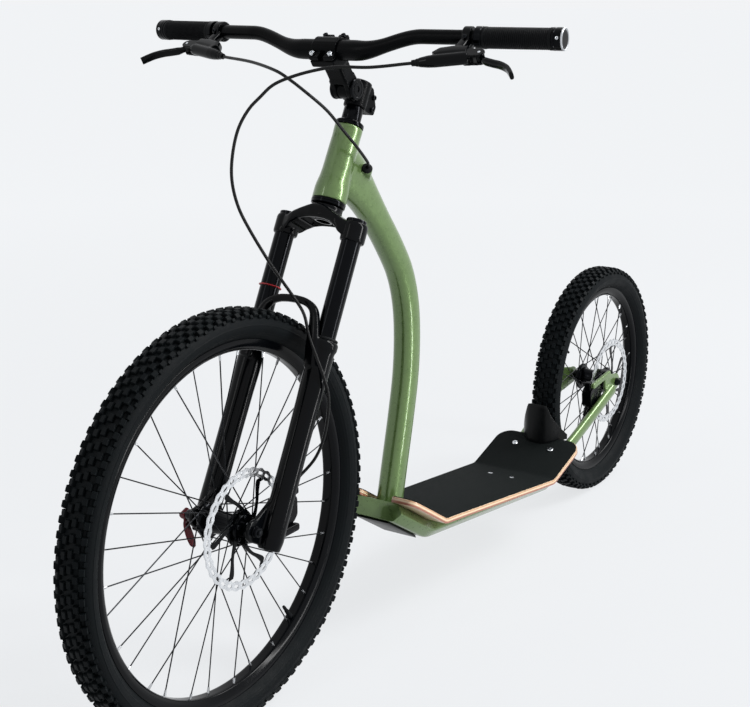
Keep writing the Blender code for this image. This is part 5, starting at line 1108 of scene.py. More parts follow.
CLAMP_HALF = 0.0223
CHEEK_INNER = 0.0088
CHEEK_OUTER = 0.0174
cheek = arc(0, 0, 0.0163, 60, 300, 24) + [(0.0245, -0.0125), (0.0245, 0.0125)]
arm_rings = []
for x, half_width, half_height in (
    (0.0185, CHEEK_OUTER, 0.0134), (0.030, 0.0168, 0.0128), (0.046, 0.0172, 0.0130), (0.060, 0.0205, 0.0142),
    (0.066, 0.0218, 0.0160),
):
    corners = [
        (-half_width, -half_height), (half_width, -half_height), (half_width, half_height),
        (-half_width, half_height),
    ]
    arm_rings.append([(x, point.x, point.y) for point in rounded(corners, 0.005, 5)])
clamp_back = [(0.0535, -0.0135), (0.0635, -0.0270), (0.0655, -0.0285), (0.0757, -0.0285)]
clamp_back += [(x, -z) for x, z in clamp_back[::-1]]
arm_shapes = [loft(arm_rings)]
arm_shapes += [
    side_prism(cheek, low, high) for low, high in ((-CHEEK_OUTER, -CHEEK_INNER), (CHEEK_INNER, CHEEK_OUTER))
]
arm_shapes.append(side_prism(clamp_back, -CLAMP_HALF, CLAMP_HALF))


def bar_hole():
    """The bar's round way through arm and faceplate, as a cutter."""
    return moved(moved(cylinder(0.0162, -0.04, 0.04, 0.0001, 64), shift(STEM_LENGTH, 0, 0) @ ALONG_Y), STEM)


notches = [block((0.0700, -0.0052, low), (0.1000, 0.0052, low + 0.0160), 0.004) for low in (-0.0310, 0.0150)]
arm = cast("stem_arm_forged", [moved(shape, STEM) for shape in arm_shapes], 0.0008, 4, [bar_hole()])
dress(arm, BLACK_SATIN, "bar", ["stem_arm"], 40)

front_line = [
    (0.0772, 0.0285), (0.0840, 0.0285), (0.0840, 0.0176), (0.0900, 0.0140), (0.0942, 0.0100), (0.0960, 0.0050)
]
front_line += [(x, -z) for x, z in front_line[::-1]]
front_block = moved(side_prism(front_line, -CLAMP_HALF, CLAMP_HALF), STEM)
face = cut(
    cast("stem_faceplate_forged", [front_block], 0.0007, 4, [bar_hole()]), [moved(merged(notches), STEM)]
)
dress(face, BLACK_SATIN, "bar", ["stem_faceplate"], 40)
for level, word, metal in ((1, "upper", BLACK_STEEL), (-1, "lower", BRIGHT_STEEL)):
    bolt = along(socket_bolt(0.0042, 0.0050, 0.0034, 0.12), (0.0842, 0.0168, level * 0.0225), (1, 0, 0))
    bolts = repeated(
        f"faceplate_bolts_{word}", moved(
            bolt, STEM.to_3x3().to_4x4()
        ), metal, 2, STEM.translation, (0, -0.0336, 0)
    )
    dress(bolts, metal, "bar", [f"faceplate_bolt_{word}_left", f"faceplate_bolt_{word}_right"])
disc = [
    (0, 0.0174), (0.0162, 0.0174), (0.0170, 0.0182), (0.0170, 0.0206), (0.0160, 0.0216), (0.0128, 0.0219),
    (0.0122, 0.0212),
]
disc += [(0.0104, 0.0212), (0.0098, 0.0220), (0.0050, 0.0221), (0.0044, 0.0205), (0, 0.0205)]
covers = [along(turned(disc, 64), (0, 0, 0), (0, side, 0)) for side in (1, -1)]
covers = moved(merged(covers), STEM)
piece("stem_pivot_covers", covers, BLACK_ANODISED, "bar", ["stem_pivot_bolt"])

# Handlebar, grips and levers


def bar_place(y):
    away = abs(y)
    share = min(1, max(0, (away - BAR_BEND_START) / (BAR_BEND_END - BAR_BEND_START)))
    bend = share * share * (3 - 2 * share)
    sweep = max(0, away - BAR_BEND_END) * math.tan(BAR_SWEEP)
    return Vector((-0.0133 * bend - sweep, y, 0.0225 * bend))


def bar_radius(y):
    share = min(1, max(0, (abs(y) - 0.045) / 0.060))
    share = share * share * (3 - 2 * share)
    return 0.0159 - 0.0048 * share


stations = [-BAR_HALF + 2 * BAR_HALF * i / 150 for i in range(151)]
tube = swept([bar_place(y) for y in stations], [circle(bar_radius(y), 40) for y in stations], (1, 0, 0))
piece("handlebar_tube", moved(tube, BAR), BLACK_SATIN, "bar", ["handlebar"], 50)


def grip_frame(side):
    start = bar_place(side * BAR_BEND_END)
    outward = bar_place(side * BAR_HALF) - start
    spin = Vector((0, 0, 1)).rotation_difference(outward).to_matrix().to_4x4()
    return shift(*start) @ spin


def along_grip(y):
    return (y - BAR_BEND_END) / math.cos(BAR_SWEEP)


GRIP_START = along_grip(GRIP_INNER_Y)
GRIP_END = along_grip(GRIP_OUTER_Y)
RIB_STEP = 0.0030

for side, word in ((1, "left"), (-1, "right")):
    line = BAR @ grip_frame(side)
    inner_ring = [
        (0.0113, GRIP_START), (0.0163, GRIP_START), (0.0168, GRIP_START + 0.0006),
        (0.0168, GRIP_START + 0.0092), (0.0160, GRIP_START + 0.0100), (0.0160, GRIP_START + 0.0108),
        (0.0152, GRIP_START + 0.0110), (0.0113, GRIP_START + 0.0110),
    ]
    piece(
        f"grip_inner_ring_{word}", moved(turned(inner_ring, 64), line), BLACK_ANODISED, "bar"
    )
    core = [
        (0.0112, GRIP_START + 0.0112), (0.0158, GRIP_START + 0.0112), (0.0164, GRIP_START + 0.0120),
        (0.0164, GRIP_START + 0.0150), (0.0150, GRIP_START + 0.0162), (0.0146, 0.5 * (GRIP_START + GRIP_END)),
        (0.0150, GRIP_END - 0.0052), (0.0164, GRIP_END - 0.0040), (0.0164, GRIP_END - 0.0008),
        (0.0158, GRIP_END), (0.0112, GRIP_END),
    ]
    piece(
        f"grip_core_{word}", moved(turned(core, 48), line), GRIP_RUBBER, "bar",
        [f"grip_{word}"],
    )
    rib = turned([(0.0140, 0), (0.0157, 0.0004), (0.0160, 0.0009), (0.0157, 0.0014), (0.0140, 0.0018)], 32)
    count = int((GRIP_END - GRIP_START - 0.0235) / RIB_STEP) + 1
    first = line @ Vector((0, 0, GRIP_START + 0.0168))
    step = line.to_3x3() @ Vector((0, 0, RIB_STEP))
    ribs = repeated(f"grip_ribs_{word}", moved(rib, line.to_3x3().to_4x4()), GRIP_RUBBER, count, first, step)
    dress(ribs, GRIP_RUBBER, "bar", sharp=50)
    start = GRIP_END + 0.0002
    end = start + 0.0175
    outer_ring = [
        (0.0114, start), (0.0162, start), (0.0168, start + 0.0006), (0.0168, start + 0.0036),
        (0.0161, start + 0.0042), (0.0161, start + 0.0052), (0.0168, start + 0.0058), (0.0168, end - 0.0034),
        (0.0162, end - 0.0028), (0.0114, end - 0.0028),
    ]
    lock_ring = moved(turned(outer_ring, 64), line)
    piece(f"lock_ring_{word}", lock_ring, BLACK_ANODISED, "bar", [f"bar_end_ring_{word}"])
    cap = [
        (0.0140, end - 0.0028), (0.0164, end - 0.0028), (0.0168, end - 0.0020), (0.0167, end - 0.0008),
        (0.0160, end), (0.0152, end), (0.0146, end - 0.0010), (0.0140, end - 0.0012),
    ]
    plug = [
        (0, end - 0.0030), (0.0139, end - 0.0029), (0.0139, end - 0.0010), (0.0130, end - 0.0004),
        (0.0080, end - 0.0009), (0, end - 0.0009),
    ]
    piece(f"bar_end_plug_{word}", moved(turned(plug, 64), line), BLACK_PLASTIC, "bar")
    end_metal = SILVER_ANODISED if side > 0 else BLACK_ANODISED
    piece(f"bar_end_cap_{word}", moved(turned(cap, 64), line), end_metal, "bar")
    screw_place = line @ Vector((0.0160, 0, start + 0.0095))
    screw = along(socket_bolt(0.0024, 0.0010, 0.0015), screw_place, line.to_3x3() @ Vector((1, 0, 0)))
    piece(f"lock_ring_screw_{word}", screw, BRIGHT_STEEL, "bar")


# The brake blade in its pin's frame: forward, outwards and half its thickness there
BLADE_ROUTE = (
    (0.001, 0.002, 0.0045), (0.0095, 0.012, 0.0042), (0.0145, 0.026, 0.0040), (0.0190, 0.042, 0.0040),
    (0.0265, 0.056, 0.0038), (0.0360, 0.0655, 0.0036), (0.0435, 0.0715, 0.0032),
)
# The fluid tank on the cylinder: share of the cylinder's run, distance off its line and half depth that way
TANK_ROUTE = ((0.03, 0.0125, 0.0110), (0.30, 0.0150, 0.0125), (0.58, 0.0140, 0.0115), (0.70, 0.0080, 0.0070))


def lever_line(side):
    return BAR @ shift(0.014, side * 0.2755, -0.003) @ turn(31)


def sided(point, side):
    return Vector((point[0], side * point[1], point[2]))


for side, word in ((1, "left"), (-1, "right")):
    line = lever_line(side)
    grip_line = BAR @ grip_frame(side)
    middle = along_grip(LEVER_CLAMP_Y)
    clamp = moved(cylinder(0.0165, middle - 0.0065, middle + 0.0065, 0.001, 64), grip_line)
    centre = line.inverted() @ (grip_line @ Vector((0, 0, middle)))
    start, end = sided(BODY_START, side), sided(BODY_END, side)
    run = end - start
    meets = start + run * ((centre.y - start.y) / run.y)
    neck = swept([centre, meets], oval(0.0085, 0.0075, 24, 3), (0, 1, 0))
    profile = [
        (0, -0.001), (0.0066, -0.001), (0.0088, 0.0015), (0.0095, 0.006), (0.0095, 0.050), (0.0088, 0.061),
        (0.0070, run.length - 0.002), (0.0060, run.length), (0.0060, run.length + 0.003),
        (0.0050, run.length + 0.004), (0.0047, run.length + 0.0104), (0, run.length + 0.0104),
    ]
    barrel = along(turned(profile, 48), start, run)
    toward = centre - (start + run * 0.4)
    toward = (toward - run * (toward.dot(run) / run.length_squared)).normalized()
    tank_line = [start + run * share + toward * rise for share, rise, _ in TANK_ROUTE]
    tank = swept(tank_line, [oval(half, 0.0095, 24, 3.2) for _, _, half in TANK_ROUTE], toward)
    ear_line = [(x, side * y) for x, y in arc(0, 0, 0.0085, 0, 180, 12)]
    ear_line += [(-0.0085, start.y - side * 0.008), (0.0115, start.y - side * 0.008)]
    ears = [plan_prism(ear_line, 0.0053, 0.0088), plan_prism(ear_line, -0.0088, -0.0053)]
    shapes = [clamp] + [moved(shape, line) for shape in [neck, barrel, tank] + ears]
    hole = moved(cylinder(0.0113, 0, 2 * middle, 0.0001, 48), grip_line)
    body = cast(f"lever_cylinder_{word}", shapes, 0.0007, 5, [hole])
    dress(body, BLACK_LACQUER, "bar", [f"lever_body_{word}"], 40)
    bent = smooth_path([(x, side * y, half) for x, y, half in BLADE_ROUTE], 0.0025)
    sections = []
    for point in bent:
        widening = min(1, max(0, (abs(point.y) - 0.009) / 0.006))
        sections.append(oval(0.0047 + 0.0016 * widening, point.z, 20, 3.2))
    blade = swept([(point.x, point.y, 0) for point in bent], sections, (0, 0, 1))
    boss = cylinder(0.0067, -0.0049, 0.0049, 0.0008)
    made = cast(f"brake_blade_{word}", [moved(blade, line), moved(boss, line)], 0.0005, 4)
    dress(made, BLACK_LACQUER, f"lever_{word}", [f"lever_blade_{word}"], 0)
    pin = cylinder(0.0024, -0.0095, 0.0095, 0.0005, 24)
    piece(f"lever_pivot_{word}", moved(pin, line), BRIGHT_STEEL, "bar", [f"lever_pin_{word}"])
    bolt = along(socket_bolt(0.0032, 0.0028, 0.0025), (0, 0, 0.0163), (0, 0, 1))
    bolt_line = grip_line @ shift(0, 0, middle) @ turn(90)
    piece(f"lever_clamp_bolt_{word}", moved(bolt, bolt_line), BLACK_STEEL, "bar")

# Frame

# The main tube: distance behind the front axle, height and depth there
TUBE_ROUTE = (
    (0.310, 0.846, 0.0780), (0.341, 0.817, 0.0770), (0.373, 0.784, 0.0620), (0.411, 0.741, 0.0510),
    (0.454, 0.688, 0.0500), (0.487, 0.638, 0.0500), (0.506, 0.582, 0.0500), (0.512, 0.520, 0.0500),
    (0.508, 0.450, 0.0500), (0.494, 0.378, 0.0500), (0.474, 0.294, 0.0500), (0.455, 0.214, 0.0500),
)
rows = smooth_path([(FRONT_AXLE.x - back, depth, z) for back, z, depth in TUBE_ROUTE], 0.006)
main_tube = swept(
    [(row.x, 0, row.z) for row in rows], [oval(0.0215, row.y / 2, 56, 2.35) for row in rows], (0, 1, 0)
)
head = [
    (0, HEAD_LOW), (0.0278, HEAD_LOW), (0.0280, HEAD_LOW + 0.0004), (0.0280, HEAD_LOW + 0.018),
    (0.0272, HEAD_LOW + 0.026), (0.0252, HEAD_LOW + 0.038), (0.0242, HEAD_LOW + 0.050),
    (0.0232, HEAD_HIGH - 0.030), (0.0228, HEAD_HIGH - 0.018), (0.0232, HEAD_HIGH - 0.008),
    (0.0233, HEAD_HIGH - 0.0004), (0.0231, HEAD_HIGH), (0, HEAD_HIGH),
]
PORT = Vector((FRONT_AXLE.x - 0.358, 0.0165, 0.822))
PORT_AXIS = Vector((0.60, 0.52, 0.61)).normalized()
collar = along(cylinder(0.0095, -0.010, 0.0193, 0.0012, 40), PORT, PORT_AXIS)
tubes = cast("frame_tubes", [moved(turned(head, 72), STEERING), main_tube, collar], 0.0014, 16)
dress(tubes, SAGE_LACQUER, "frame", ["frame"], 0)
plug = [
    (0.0028, -0.002), (0.0058, -0.002), (0.0058, 0.0197), (0.0092, 0.0197), (0.0092, 0.0206),
    (0.0076, 0.0228), (0.0044, 0.0238), (0.0028, 0.0238),
]
plug = along(turned(plug, 40), PORT, PORT_AXIS)
piece("hose_port_plug", plug, GRIP_RUBBER, "frame", ["hose_grommet"])


def deck_line(depth, steps=8):
    """The deck's side view at this depth below its top, from tail to nose, with its two kicks rounded."""
    level = DECK_MARK_Z + DECK_SLOPE * (TAIL_KICK + MIDDLE - DECK_MARK_X)
    kick = DECK_MARK_Z + DECK_SLOPE * (NOSE_KICK + MIDDLE - DECK_MARK_X)
    corners = [
        Vector((TAIL_END, level + TAIL_SLOPE * (TAIL_END - TAIL_KICK))), Vector((TAIL_KICK, level)),
        Vector((NOSE_KICK, kick)), Vector((NOSE_END, kick + NOSE_SLOPE * (NOSE_END - NOSE_KICK))),
    ]
    found = []
    for i, corner in enumerate(corners):
        before = (corner - corners[i - 1]).normalized() if i else (corners[1] - corner).normalized()
        after = (corners[i + 1] - corner).normalized() if i < 3 else before
        down_before = Vector((before.y, -before.x))
        down_after = Vector((after.y, -after.x))
        if i in (0, 3):
            found.append(corner + down_before * depth)
            continue
        bend = before.angle(after)
        reach = BEND_RADIUS * math.tan(bend / 2)
        start = corner - before * reach
        centre = start - down_before * BEND_RADIUS
        for step in range(steps + 1):
            share = step / steps
            down = down_before.slerp(down_after, share)
            found.append(centre + down * (BEND_RADIUS + depth))
    return found


def deck_lengths():
    """Distance along the deck's top and the station of each point of its line."""
    line = deck_line(0)
    lengths = [0.0]
    for a, b in zip(line, line[1:]):
        lengths.append(lengths[-1] + (b - a).length)
    return line, lengths


DECK_TOP, DECK_LENGTHS = deck_lengths()


def length_at(x):
    """Distance along the deck's top at a station."""
    for (a, b), (la, lb) in zip(zip(DECK_TOP, DECK_TOP[1:]), zip(DECK_LENGTHS, DECK_LENGTHS[1:])):
        if x <= b.x or b is DECK_TOP[-1]:
            return la + (lb - la) * (x - a.x) / (b.x - a.x)


def on_deck(length, depth):
    """The place at a distance along the deck's top and a depth below it."""
    line = deck_line(depth)
    for i in range(len(line) - 1):
        low, high = DECK_LENGTHS[i], DECK_LENGTHS[i + 1]
        if length <= high or i == len(line) - 2:
            return line[i] + (line[i + 1] - line[i]) * ((length - low) / (high - low))


def deck_plan(inset):
    """Half the board in plan, as (station, offset): rounded nose prong, rounded tail, and the notch for
    the tube."""
    nose, tail = NOSE_END - inset, TAIL_END + inset
    nose_half, tail_half = NOSE_HALF - inset, TAIL_HALF - inset
    notch, back = NOTCH_HALF + inset, NOTCH_BACK - inset

    half = [
        (back, 0.0), (back + 0.001, 0.35 * notch), (back + 0.15 * notch, 0.75 * notch),
        (back + 0.5 * notch, notch),
    ]
    half += arc(nose - 0.010, notch + 0.010, 0.010, 270, 360, 6)
    half += arc(nose - 0.016, nose_half - 0.016, 0.016, 0, 90, 8)
    for share in (0.9, 0.5, 0):
        width = tail_half + (nose_half - tail_half) * share
        half.append((TAIL_KICK + (NOSE_KICK - TAIL_KICK) * share, width))
    half += arc(tail + 0.030, tail_half - 0.030, 0.030, 90, 180, 12)
    return half + [(x, -y) for x, y in half[:0:-1]]


def bent_board(name, top, bottom, inset):
    """A board cut to the deck's plan and bent along its side view; its mesh carries each point's depth."""
    outline = [(length_at(x), y) for x, y in deck_plan(inset)]
    edge = min(0.0012, (bottom - top) * 0.25)
    shape = plan_prism(outline, 0, 1)
    for length in sorted(set(DECK_LENGTHS[1:-1])):
        everything = list(shape.verts) + list(shape.edges) + list(shape.faces)
        bmesh.ops.bisect_plane(
            shape, geom=everything, plane_co=(length, 0, 0), plane_no=(1, 0, 0), dist=MERGE
        )
    layer = shape.verts.layers.float.new("depth")
    for vert in shape.verts:
        depth = top if vert.co.z > 0.5 else bottom
        vert[layer] = depth
        place = on_deck(vert.co.x, depth)
        vert.co = (place.x, vert.co.y, place.y)
    bmesh.ops.recalc_face_normals(shape, faces=shape.faces)
    made = thing(name, shape)
    return broken_edges(made, edge, 2, 50)


board = bent_board("deck_plywood", BOARD_TOP, BOARD_BOTTOM, 0)
board.data.materials.append(BIRCH)
board.data.materials.append(PLY_EDGE)
for polygon in board.data.polygons:
    flat = abs(polygon.normal.z) > 0.75 and polygon.area > 0.00002
    polygon.material_index = 0 if flat else 1
dress(board, BIRCH, "frame", ["deck_board"], 35)
sheet = bent_board("deck_grit_sheet", 0, SHEET_THICK, SHEET_INSET)
dress(sheet, GRIT, "frame", ["deck_grip_sheet"], 35)

# The beam is 10 mm wider on each side than its solid, as its side shows below the board in the photo
beam_line = deck_line(BOARD_BOTTOM + FIT + BEAM_HEIGHT / 2, 12)
nose = beam_line[-1] + (beam_line[-2] - beam_line[-1]).normalized() * 0.006
beam_path = [(BEAM_REAR, 0, beam_line[14].y + DECK_SLOPE * (BEAM_REAR - beam_line[14].x))]
beam_path += [(point.x, 0, point.y) for point in beam_line[14:-1]] + [(nose.x, 0, nose.y)]
tall = BEAM_HEIGHT / 2
hexed = [
    (BEAM_HALF, 0), (BEAM_FLAT, tall), (-BEAM_FLAT, tall), (-BEAM_HALF, 0), (-BEAM_FLAT, -tall),
    (BEAM_FLAT, -tall),
]
hexed = rounded(hexed, 0.004, 4)
beam = thing("frame_beam", swept(beam_path, [(point.x, point.y) for point in hexed], (0, 1, 0)))
dress(broken_edges(beam, 0.0008), SAGE_LACQUER, "frame")

stay_shapes = []
(back_x, back_z), (kick_x, kick_z) = deck_line(BOARD_BOTTOM + FIT + 0.013)[:2]
end_z = REAR_RADIUS - 0.0085
for side in (-1, 1):
    stay = [
        (kick_x + 0.006, side * 0.026, kick_z - 0.009), (kick_x - 0.022, side * 0.0345, kick_z + 0.0045),
        (back_x, side * 0.053, back_z),
        (0.5 * (back_x + 0.030 - MIDDLE), side * 0.0575, 0.5 * (back_z + end_z) - 0.001),
        (0.030 - MIDDLE, side * 0.0605, end_z),
    ]
    stay_shapes.append(swept(smooth_path(stay, 0.008), oval(0.009, 0.013, 32, 2.3), (0, 1, 0)))
drop = arc(-MIDDLE, REAR_AXLE.z, 0.019, 80, 250, 20)
drop += [(x - MIDDLE, REAR_AXLE.z + z) for x, z in ((0.052, -0.026), (0.060, 0.024), (0.046, 0.028))]
for side in (-1, 1):
    low, high = sorted((side * 0.0502, side * 0.0558))
    stay_shapes.append(side_prism(rounded(drop, 0.006, 3), low, high))
post_plane = REAR @ shift(0, ROTOR_Y, 0) @ turn(REAR_CALIPER)
stay_shapes += [moved(post, post_plane) for post in bracket_posts(0.0056, 0.042, 0.024)]
stays = cast("frame_stays", stay_shapes, 0.0013, 6)
dress(stays, SAGE_LACQUER, "frame", (), 0)

for word, x, y, slope, sunk, shape in (
    ("mid", 0.430, 0.025, DECK_SLOPE, 0.0020, socket_bolt(0.0050, 0.0024, 0.0030, 0.1)),
    ("tail", 0.292, 0.042, TAIL_SLOPE, 0, socket_bolt(0.0065, 0.0036, 0.0036, 0.7)),
):
    place = on_deck(length_at(x - MIDDLE), sunk)
    bolt = along(shape, (0, 0, 0), Vector((-slope, 0, 1)).normalized())
    pair = repeated(f"deck_bolts_{word}", bolt, BRIGHT_STEEL, 2, (place.x, y, place.y), (0, -2 * y, 0))
    dress(pair, BRIGHT_STEEL, "frame", [f"deck_bolt_{word}_left", f"deck_bolt_{word}_right"])

skid_top = BOARD_BOTTOM + FIT + BEAM_HEIGHT + FIT
skid_low = deck_line(skid_top + 0.004, 12)
skid_high = deck_line(skid_top, 12)
skid = [skid_high[-2], skid_high[-1], skid_low[-1], skid_low[-2]]
ahead = (skid[1] - skid[0]).normalized()
skid = [skid[0] + ahead * 0.002, skid[1] - ahead * 0.013, skid[2] - ahead * 0.010, skid[3] - ahead * 0.004]
strip = broken_edges(thing("skid_strip", side_prism([(p.x, p.y) for p in skid], -0.035, 0.035)), 0.0012)
dress(strip, BLACK_PLASTIC, "frame", ["skid_plate"])


GUARD_HALF = 0.0510
GUARD_THICK = 0.0024


def mudguard():
    """A bent guard on the tail: flat front with a rounded top, flanks swept back with a hollow upper edge."""
    rows = []
    columns, levels = 40, 10
    stops = [
        (0.235, GUARD_HALF), (0.252, 0.0420), (0.268, 0.0315), (0.2765, 0.0210), (0.2795, 0.0090),
        (0.280, 0.0),
    ]
    half = [(point.x - MIDDLE, point.y) for point in smooth_path(stops, 0.001)]
    plan = half + [(x, -y) for x, y in half[-2::-1]]
    lengths = [0.0]
    for (ax, ay), (bx, by) in zip(plan, plan[1:]):
        lengths.append(lengths[-1] + math.hypot(bx - ax, by - ay))
    shape = bmesh.new()
    for column in range(columns + 1):
        want = lengths[-1] * column / columns
        i = max(k for k in range(len(plan) - 1) if lengths[k] <= want + 1e-9)
        share = (want - lengths[i]) / (lengths[i + 1] - lengths[i])
        x = plan[i][0] + (plan[i + 1][0] - plan[i][0]) * share
        y = plan[i][1] + (plan[i + 1][1] - plan[i][1]) * share
        out = min(1, abs(y) / GUARD_HALF)
        if out < 0.45:
            top = 0.2615 - 0.0035 * (out / 0.45) ** 4
        else:
            top = 0.258 - 0.066 * ((out - 0.45) / 0.55) ** 0.85
        foot = on_deck(length_at(max(TAIL_END + 0.001, x)), -0.0006).y - (0.004 if x < TAIL_END else 0)
        heights = [foot + (top - foot) * level / levels for level in range(levels + 1)]
        rows.append([shape.verts.new((x - GUARD_THICK / 2, y, height)) for height in heights])
    for low, high in zip(rows, rows[1:]):
        for i in range(levels):
            shape.faces.new((low[i], high[i], high[i + 1], low[i + 1]))
    bmesh.ops.recalc_face_normals(shape, faces=shape.faces)
    made = thing("mudguard_shell", shape)
    wall = made.modifiers.new("wall", "SOLIDIFY")
    wall.thickness = GUARD_THICK
    wall.offset = 0
    return broken_edges(settle(made), 0.0006, 2, 50)


dress(mudguard(), BLACK_PLASTIC, "frame", ["rear_mudguard"], 40)

# Brake hoses, through the same places as their solids

FRONT_ROUTE = (
    (0.148, 0.117, 0.699), (0.170, 0.073, 0.688), (0.185, 0.040, 0.673), (0.199, 0.014, 0.655),
    (0.207, -0.004, 0.639), (0.213, -0.015, 0.618), (0.218, -0.026, 0.595), (0.219, -0.034, 0.563),
    (0.213, -0.036, 0.525), (0.199, -0.036, 0.491), (0.173, -0.034, 0.461), (0.142, -0.026, 0.435),
    (0.095, -0.005, 0.396), (0.048, 0.019, 0.360), (0.040, 0.040, 0.338), (0.034, 0.055, 0.308),
    (0.028, 0.075, 0.278), (0.014, 0.089, 0.250), (-0.006, 0.092, 0.226), (-0.026, 0.087, 0.196),
    (-0.046, 0.076, 0.161), (-0.062, 0.058, 0.130),
)
REAR_OUTSIDE = (
    (1.100, -0.093, 1.005), (1.130, -0.025, 0.996), (1.130, 0.001, 0.984), (1.118, 0.023, 0.965),
    (1.080, 0.034, 0.936), (1.045, 0.038, 0.905), (1.008, 0.041, 0.873),
)
REAR_INSIDE = (
    (0.933, 0.003, 0.803), (0.895, 0.000, 0.745), (0.852, 0.000, 0.690), (0.819, 0.000, 0.640),
    (0.800, 0.000, 0.582), (0.794, 0.000, 0.520), (0.798, 0.000, 0.450), (0.812, 0.000, 0.378),
    (0.832, 0.000, 0.294), (0.846, 0.001, 0.235), (0.842, 0.003, 0.207), (0.822, 0.005, 0.183),
    (0.785, 0.007, 0.163), (0.700, 0.010, 0.150), (0.600, 0.012, 0.139), (0.500, 0.012, 0.128),
    (0.400, 0.012, 0.1165), (0.340, 0.012, 0.110), (0.312, 0.012, 0.106), (0.290, 0.020, 0.112),
    (0.268, 0.033, 0.132), (0.240, 0.0410, 0.154), (0.200, 0.0425, 0.173), (0.160, 0.0415, 0.187),
)


def lever_port(side):
    start, end = sided(BODY_START, side), sided(BODY_END, side)
    run = end - start
    ahead = run.normalized()
    tip = start + ahead * (run.length + 0.0108)
    line = lever_line(side)
    return [line @ tip, line @ (tip + ahead * HOSE_STRAIGHT)]


def caliper_port(axle, angle):
    plane = axle @ shift(0, ROTOR_Y, 0) @ turn(angle)
    end = CALIPER_PORT + CALIPER_PORT_AXIS * 0.0303
    return [plane @ (end + CALIPER_PORT_AXIS * HOSE_STRAIGHT), plane @ end]


def hose_piece(name, points, stands_for=(), body=None):
    return piece(
        name, swept(points, circle(HOSE_RADIUS, 16)), HOSE_JACKET, body, stands_for, 60
    )


route = lever_port(1) + [
    STEERING @ Vector(point) for point in FRONT_ROUTE
] + caliper_port(FRONT, FRONT_CALIPER)
path = smooth_path(route, 0.006)
split = min(range(len(path)), key=lambda i: (path[i] - STEERING @ Vector(FRONT_ROUTE[7])).length)
upper = hose_piece("front_hose_upper", path[: split + 1], ["front_brake_hose"])
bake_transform(upper)
lower = hose_piece("front_hose_lower", path[split:])
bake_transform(lower)

ports = [PORT + PORT_AXIS * reach for reach in (0.0375, 0.0245, -0.006, -0.016)]
outside = lever_port(-1) + [Vector(point) - Vector((MIDDLE, 0, 0)) for point in REAR_OUTSIDE] + ports
inside = [Vector(point) - Vector((MIDDLE, 0, 0)) for point in REAR_INSIDE] + caliper_port(REAR, REAR_CALIPER)
path = smooth_path(outside, 0.006)
split = min(range(len(path)), key=lambda i: (path[i] - outside[4]).length)
first = hose_piece("rear_hose_bar", path[: split + 1], ["rear_brake_hose"])
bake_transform(first)
second = hose_piece("rear_hose_port", path[split:])
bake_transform(second)
hose_piece("rear_hose_frame", smooth_path([outside[-1]] + inside, 0.008), body="frame")

# Hidden solids that stay as they are

KEPT = (
    (BRIGHT_STEEL, ("damper_rod", "air_spring_rod")),
    (PAD_FRICTION, ("front_pad_inner", "front_pad_outer", "rear_pad_inner", "rear_pad_outer")),
)
for material, names in KEPT:
    for name in names:
        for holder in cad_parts[name].material_slots:
            holder.material = material

# Stage, light and camera


def backdrop_nodes(tree, pale, lit):
    """Mixes what the camera and reflections see with what lights the object."""
    path_now = add(tree, "ShaderNodeLightPath").outputs
    seen = add(
        tree, "ShaderNodeMath", {0: path_now["Is Camera Ray"], 1: path_now["Is Glossy Ray"]},
        operation="MAXIMUM",
    )
    seen = add(
        tree, "ShaderNodeMath", {0: seen.outputs[0], 1: path_now["Is Transmission Ray"]}, operation="MAXIMUM"
    )
    return add(tree, "ShaderNodeMixShader", {0: seen.outputs[0], 1: lit, 2: pale}).outputs[0]


floor_mesh = bpy.data.meshes.new("floor")
reach = 60.0
floor_mesh.from_pydata(
    [(-reach, -reach, 0), (reach, -reach, 0), (reach, reach, 0), (-reach, reach, 0)], [], [(0, 1, 2, 3)]
)
floor_mesh.transform(shift(0, 0, -0.0005))
floor = linked("floor", floor_mesh)
# Matt white studio paper: it takes the shadow softly. Its glow rises a little away from the object
paper = bpy.data.materials.new("matt_studio_paper")
paper.use_nodes = True
tree = paper.node_tree
tree.nodes.clear()
lit = add(tree, "ShaderNodeBsdfDiffuse", {"Color": linear("#C9CBCE")}).outputs[0]
shaded = add(tree, "ShaderNodeBsdfDiffuse", {"Color": linear("#6E6F71")}).outputs[0]
place_now = add(tree, "ShaderNodeTexCoord").outputs["Object"]
away = add(tree, "ShaderNodeVectorMath", {0: place_now}, operation="LENGTH").outputs["Value"]
level = {"Value": away, "From Min": 1.0, "From Max": 5.0, "To Min": 0.82, "To Max": 0.885}
level = add(tree, "ShaderNodeMapRange", level).outputs[0]
glow = add(tree, "ShaderNodeEmission", {"Color": linear("#F2F4F6"), "Strength": level}).outputs[0]
pale = add(tree, "ShaderNodeAddShader", {0: shaded, 1: glow}).outputs[0]
add(tree, "ShaderNodeOutputMaterial", {0: backdrop_nodes(tree, pale, lit)})
floor_mesh.materials.append(paper)

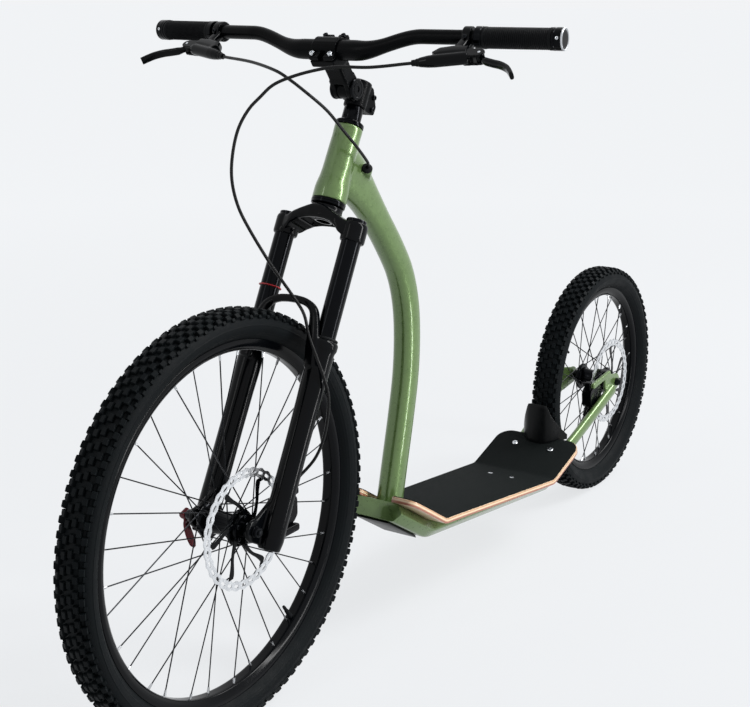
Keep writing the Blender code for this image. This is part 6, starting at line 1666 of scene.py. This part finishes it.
world = bpy.data.worlds.new("studio")
bpy.context.scene.world = world
world.use_nodes = True
tree = world.node_tree
tree.nodes.clear()
around = add(tree, "ShaderNodeBackground", {"Color": linear("#F4F6FA"), "Strength": 0.26}).outputs[0]
shown = add(tree, "ShaderNodeBackground", {"Color": linear("#F2F3F5"), "Strength": 1.0}).outputs[0]
add(tree, "ShaderNodeOutputWorld", {0: backdrop_nodes(tree, shown, around)})


def lamp(name, kind, place, aim, power, **settings):
    light = bpy.data.lights.new(name, kind)
    light.energy = power
    for setting, value in settings.items():
        setattr(light, setting, value)
    made = linked(name, light)
    made.location = place
    made.rotation_euler = (Vector(aim) - Vector(place)).to_track_quat("-Z", "Y").to_euler()
    return made


lamp("window_sun", "SUN", (-2.2, 3.0, 4.4), (0, 0, 0), 1.5, angle=math.radians(20))
lamp("side_box", "AREA", (-0.9, 3.3, 1.9), (0.1, 0, 0.5), 35, shape="RECTANGLE", size=0.6, size_y=2.4)
strip = lamp(
    "low_strip", "AREA", (-0.20, 1.45, 1.02), (0.05, 0, 1.02), 16, shape="RECTANGLE", size=0.16, size_y=2.0
)
lamp("front_box", "AREA", (3.4, -1.2, 2.4), (0.1, 0, 0.5), 10, shape="RECTANGLE", size=0.5, size_y=1.8)
lamp("back_box", "AREA", (-2.6, 0.8, 2.8), (0, 0, 0.5), 30, shape="RECTANGLE", size=1.2, size_y=1.2)

# The strip stands close by, so the floor is left out of its light: it would burn a white spot there
unlit = bpy.data.collections.new("not_lit_by_the_strip")
unlit.objects.link(floor)
unlit.collection_objects[0].light_linking.link_state = "EXCLUDE"
strip.light_linking.receiver_collection = unlit

# The camera as it was fitted to the photo
CAMERA_PLACE = (2.1447, 1.2930, 1.1217)
CAMERA_AHEAD = Vector((-0.80466, -0.53638, -0.25459))
CAMERA_LENS = 67.38
camera = bpy.data.cameras.new("camera")
camera.lens = CAMERA_LENS
camera.sensor_width = 36
view = linked("camera", camera)
view.location = CAMERA_PLACE
view.rotation_euler = CAMERA_AHEAD.to_track_quat("-Z", "Y").to_euler()
bpy.context.scene.camera = view
bpy.context.scene.view_settings.view_transform = "Standard"
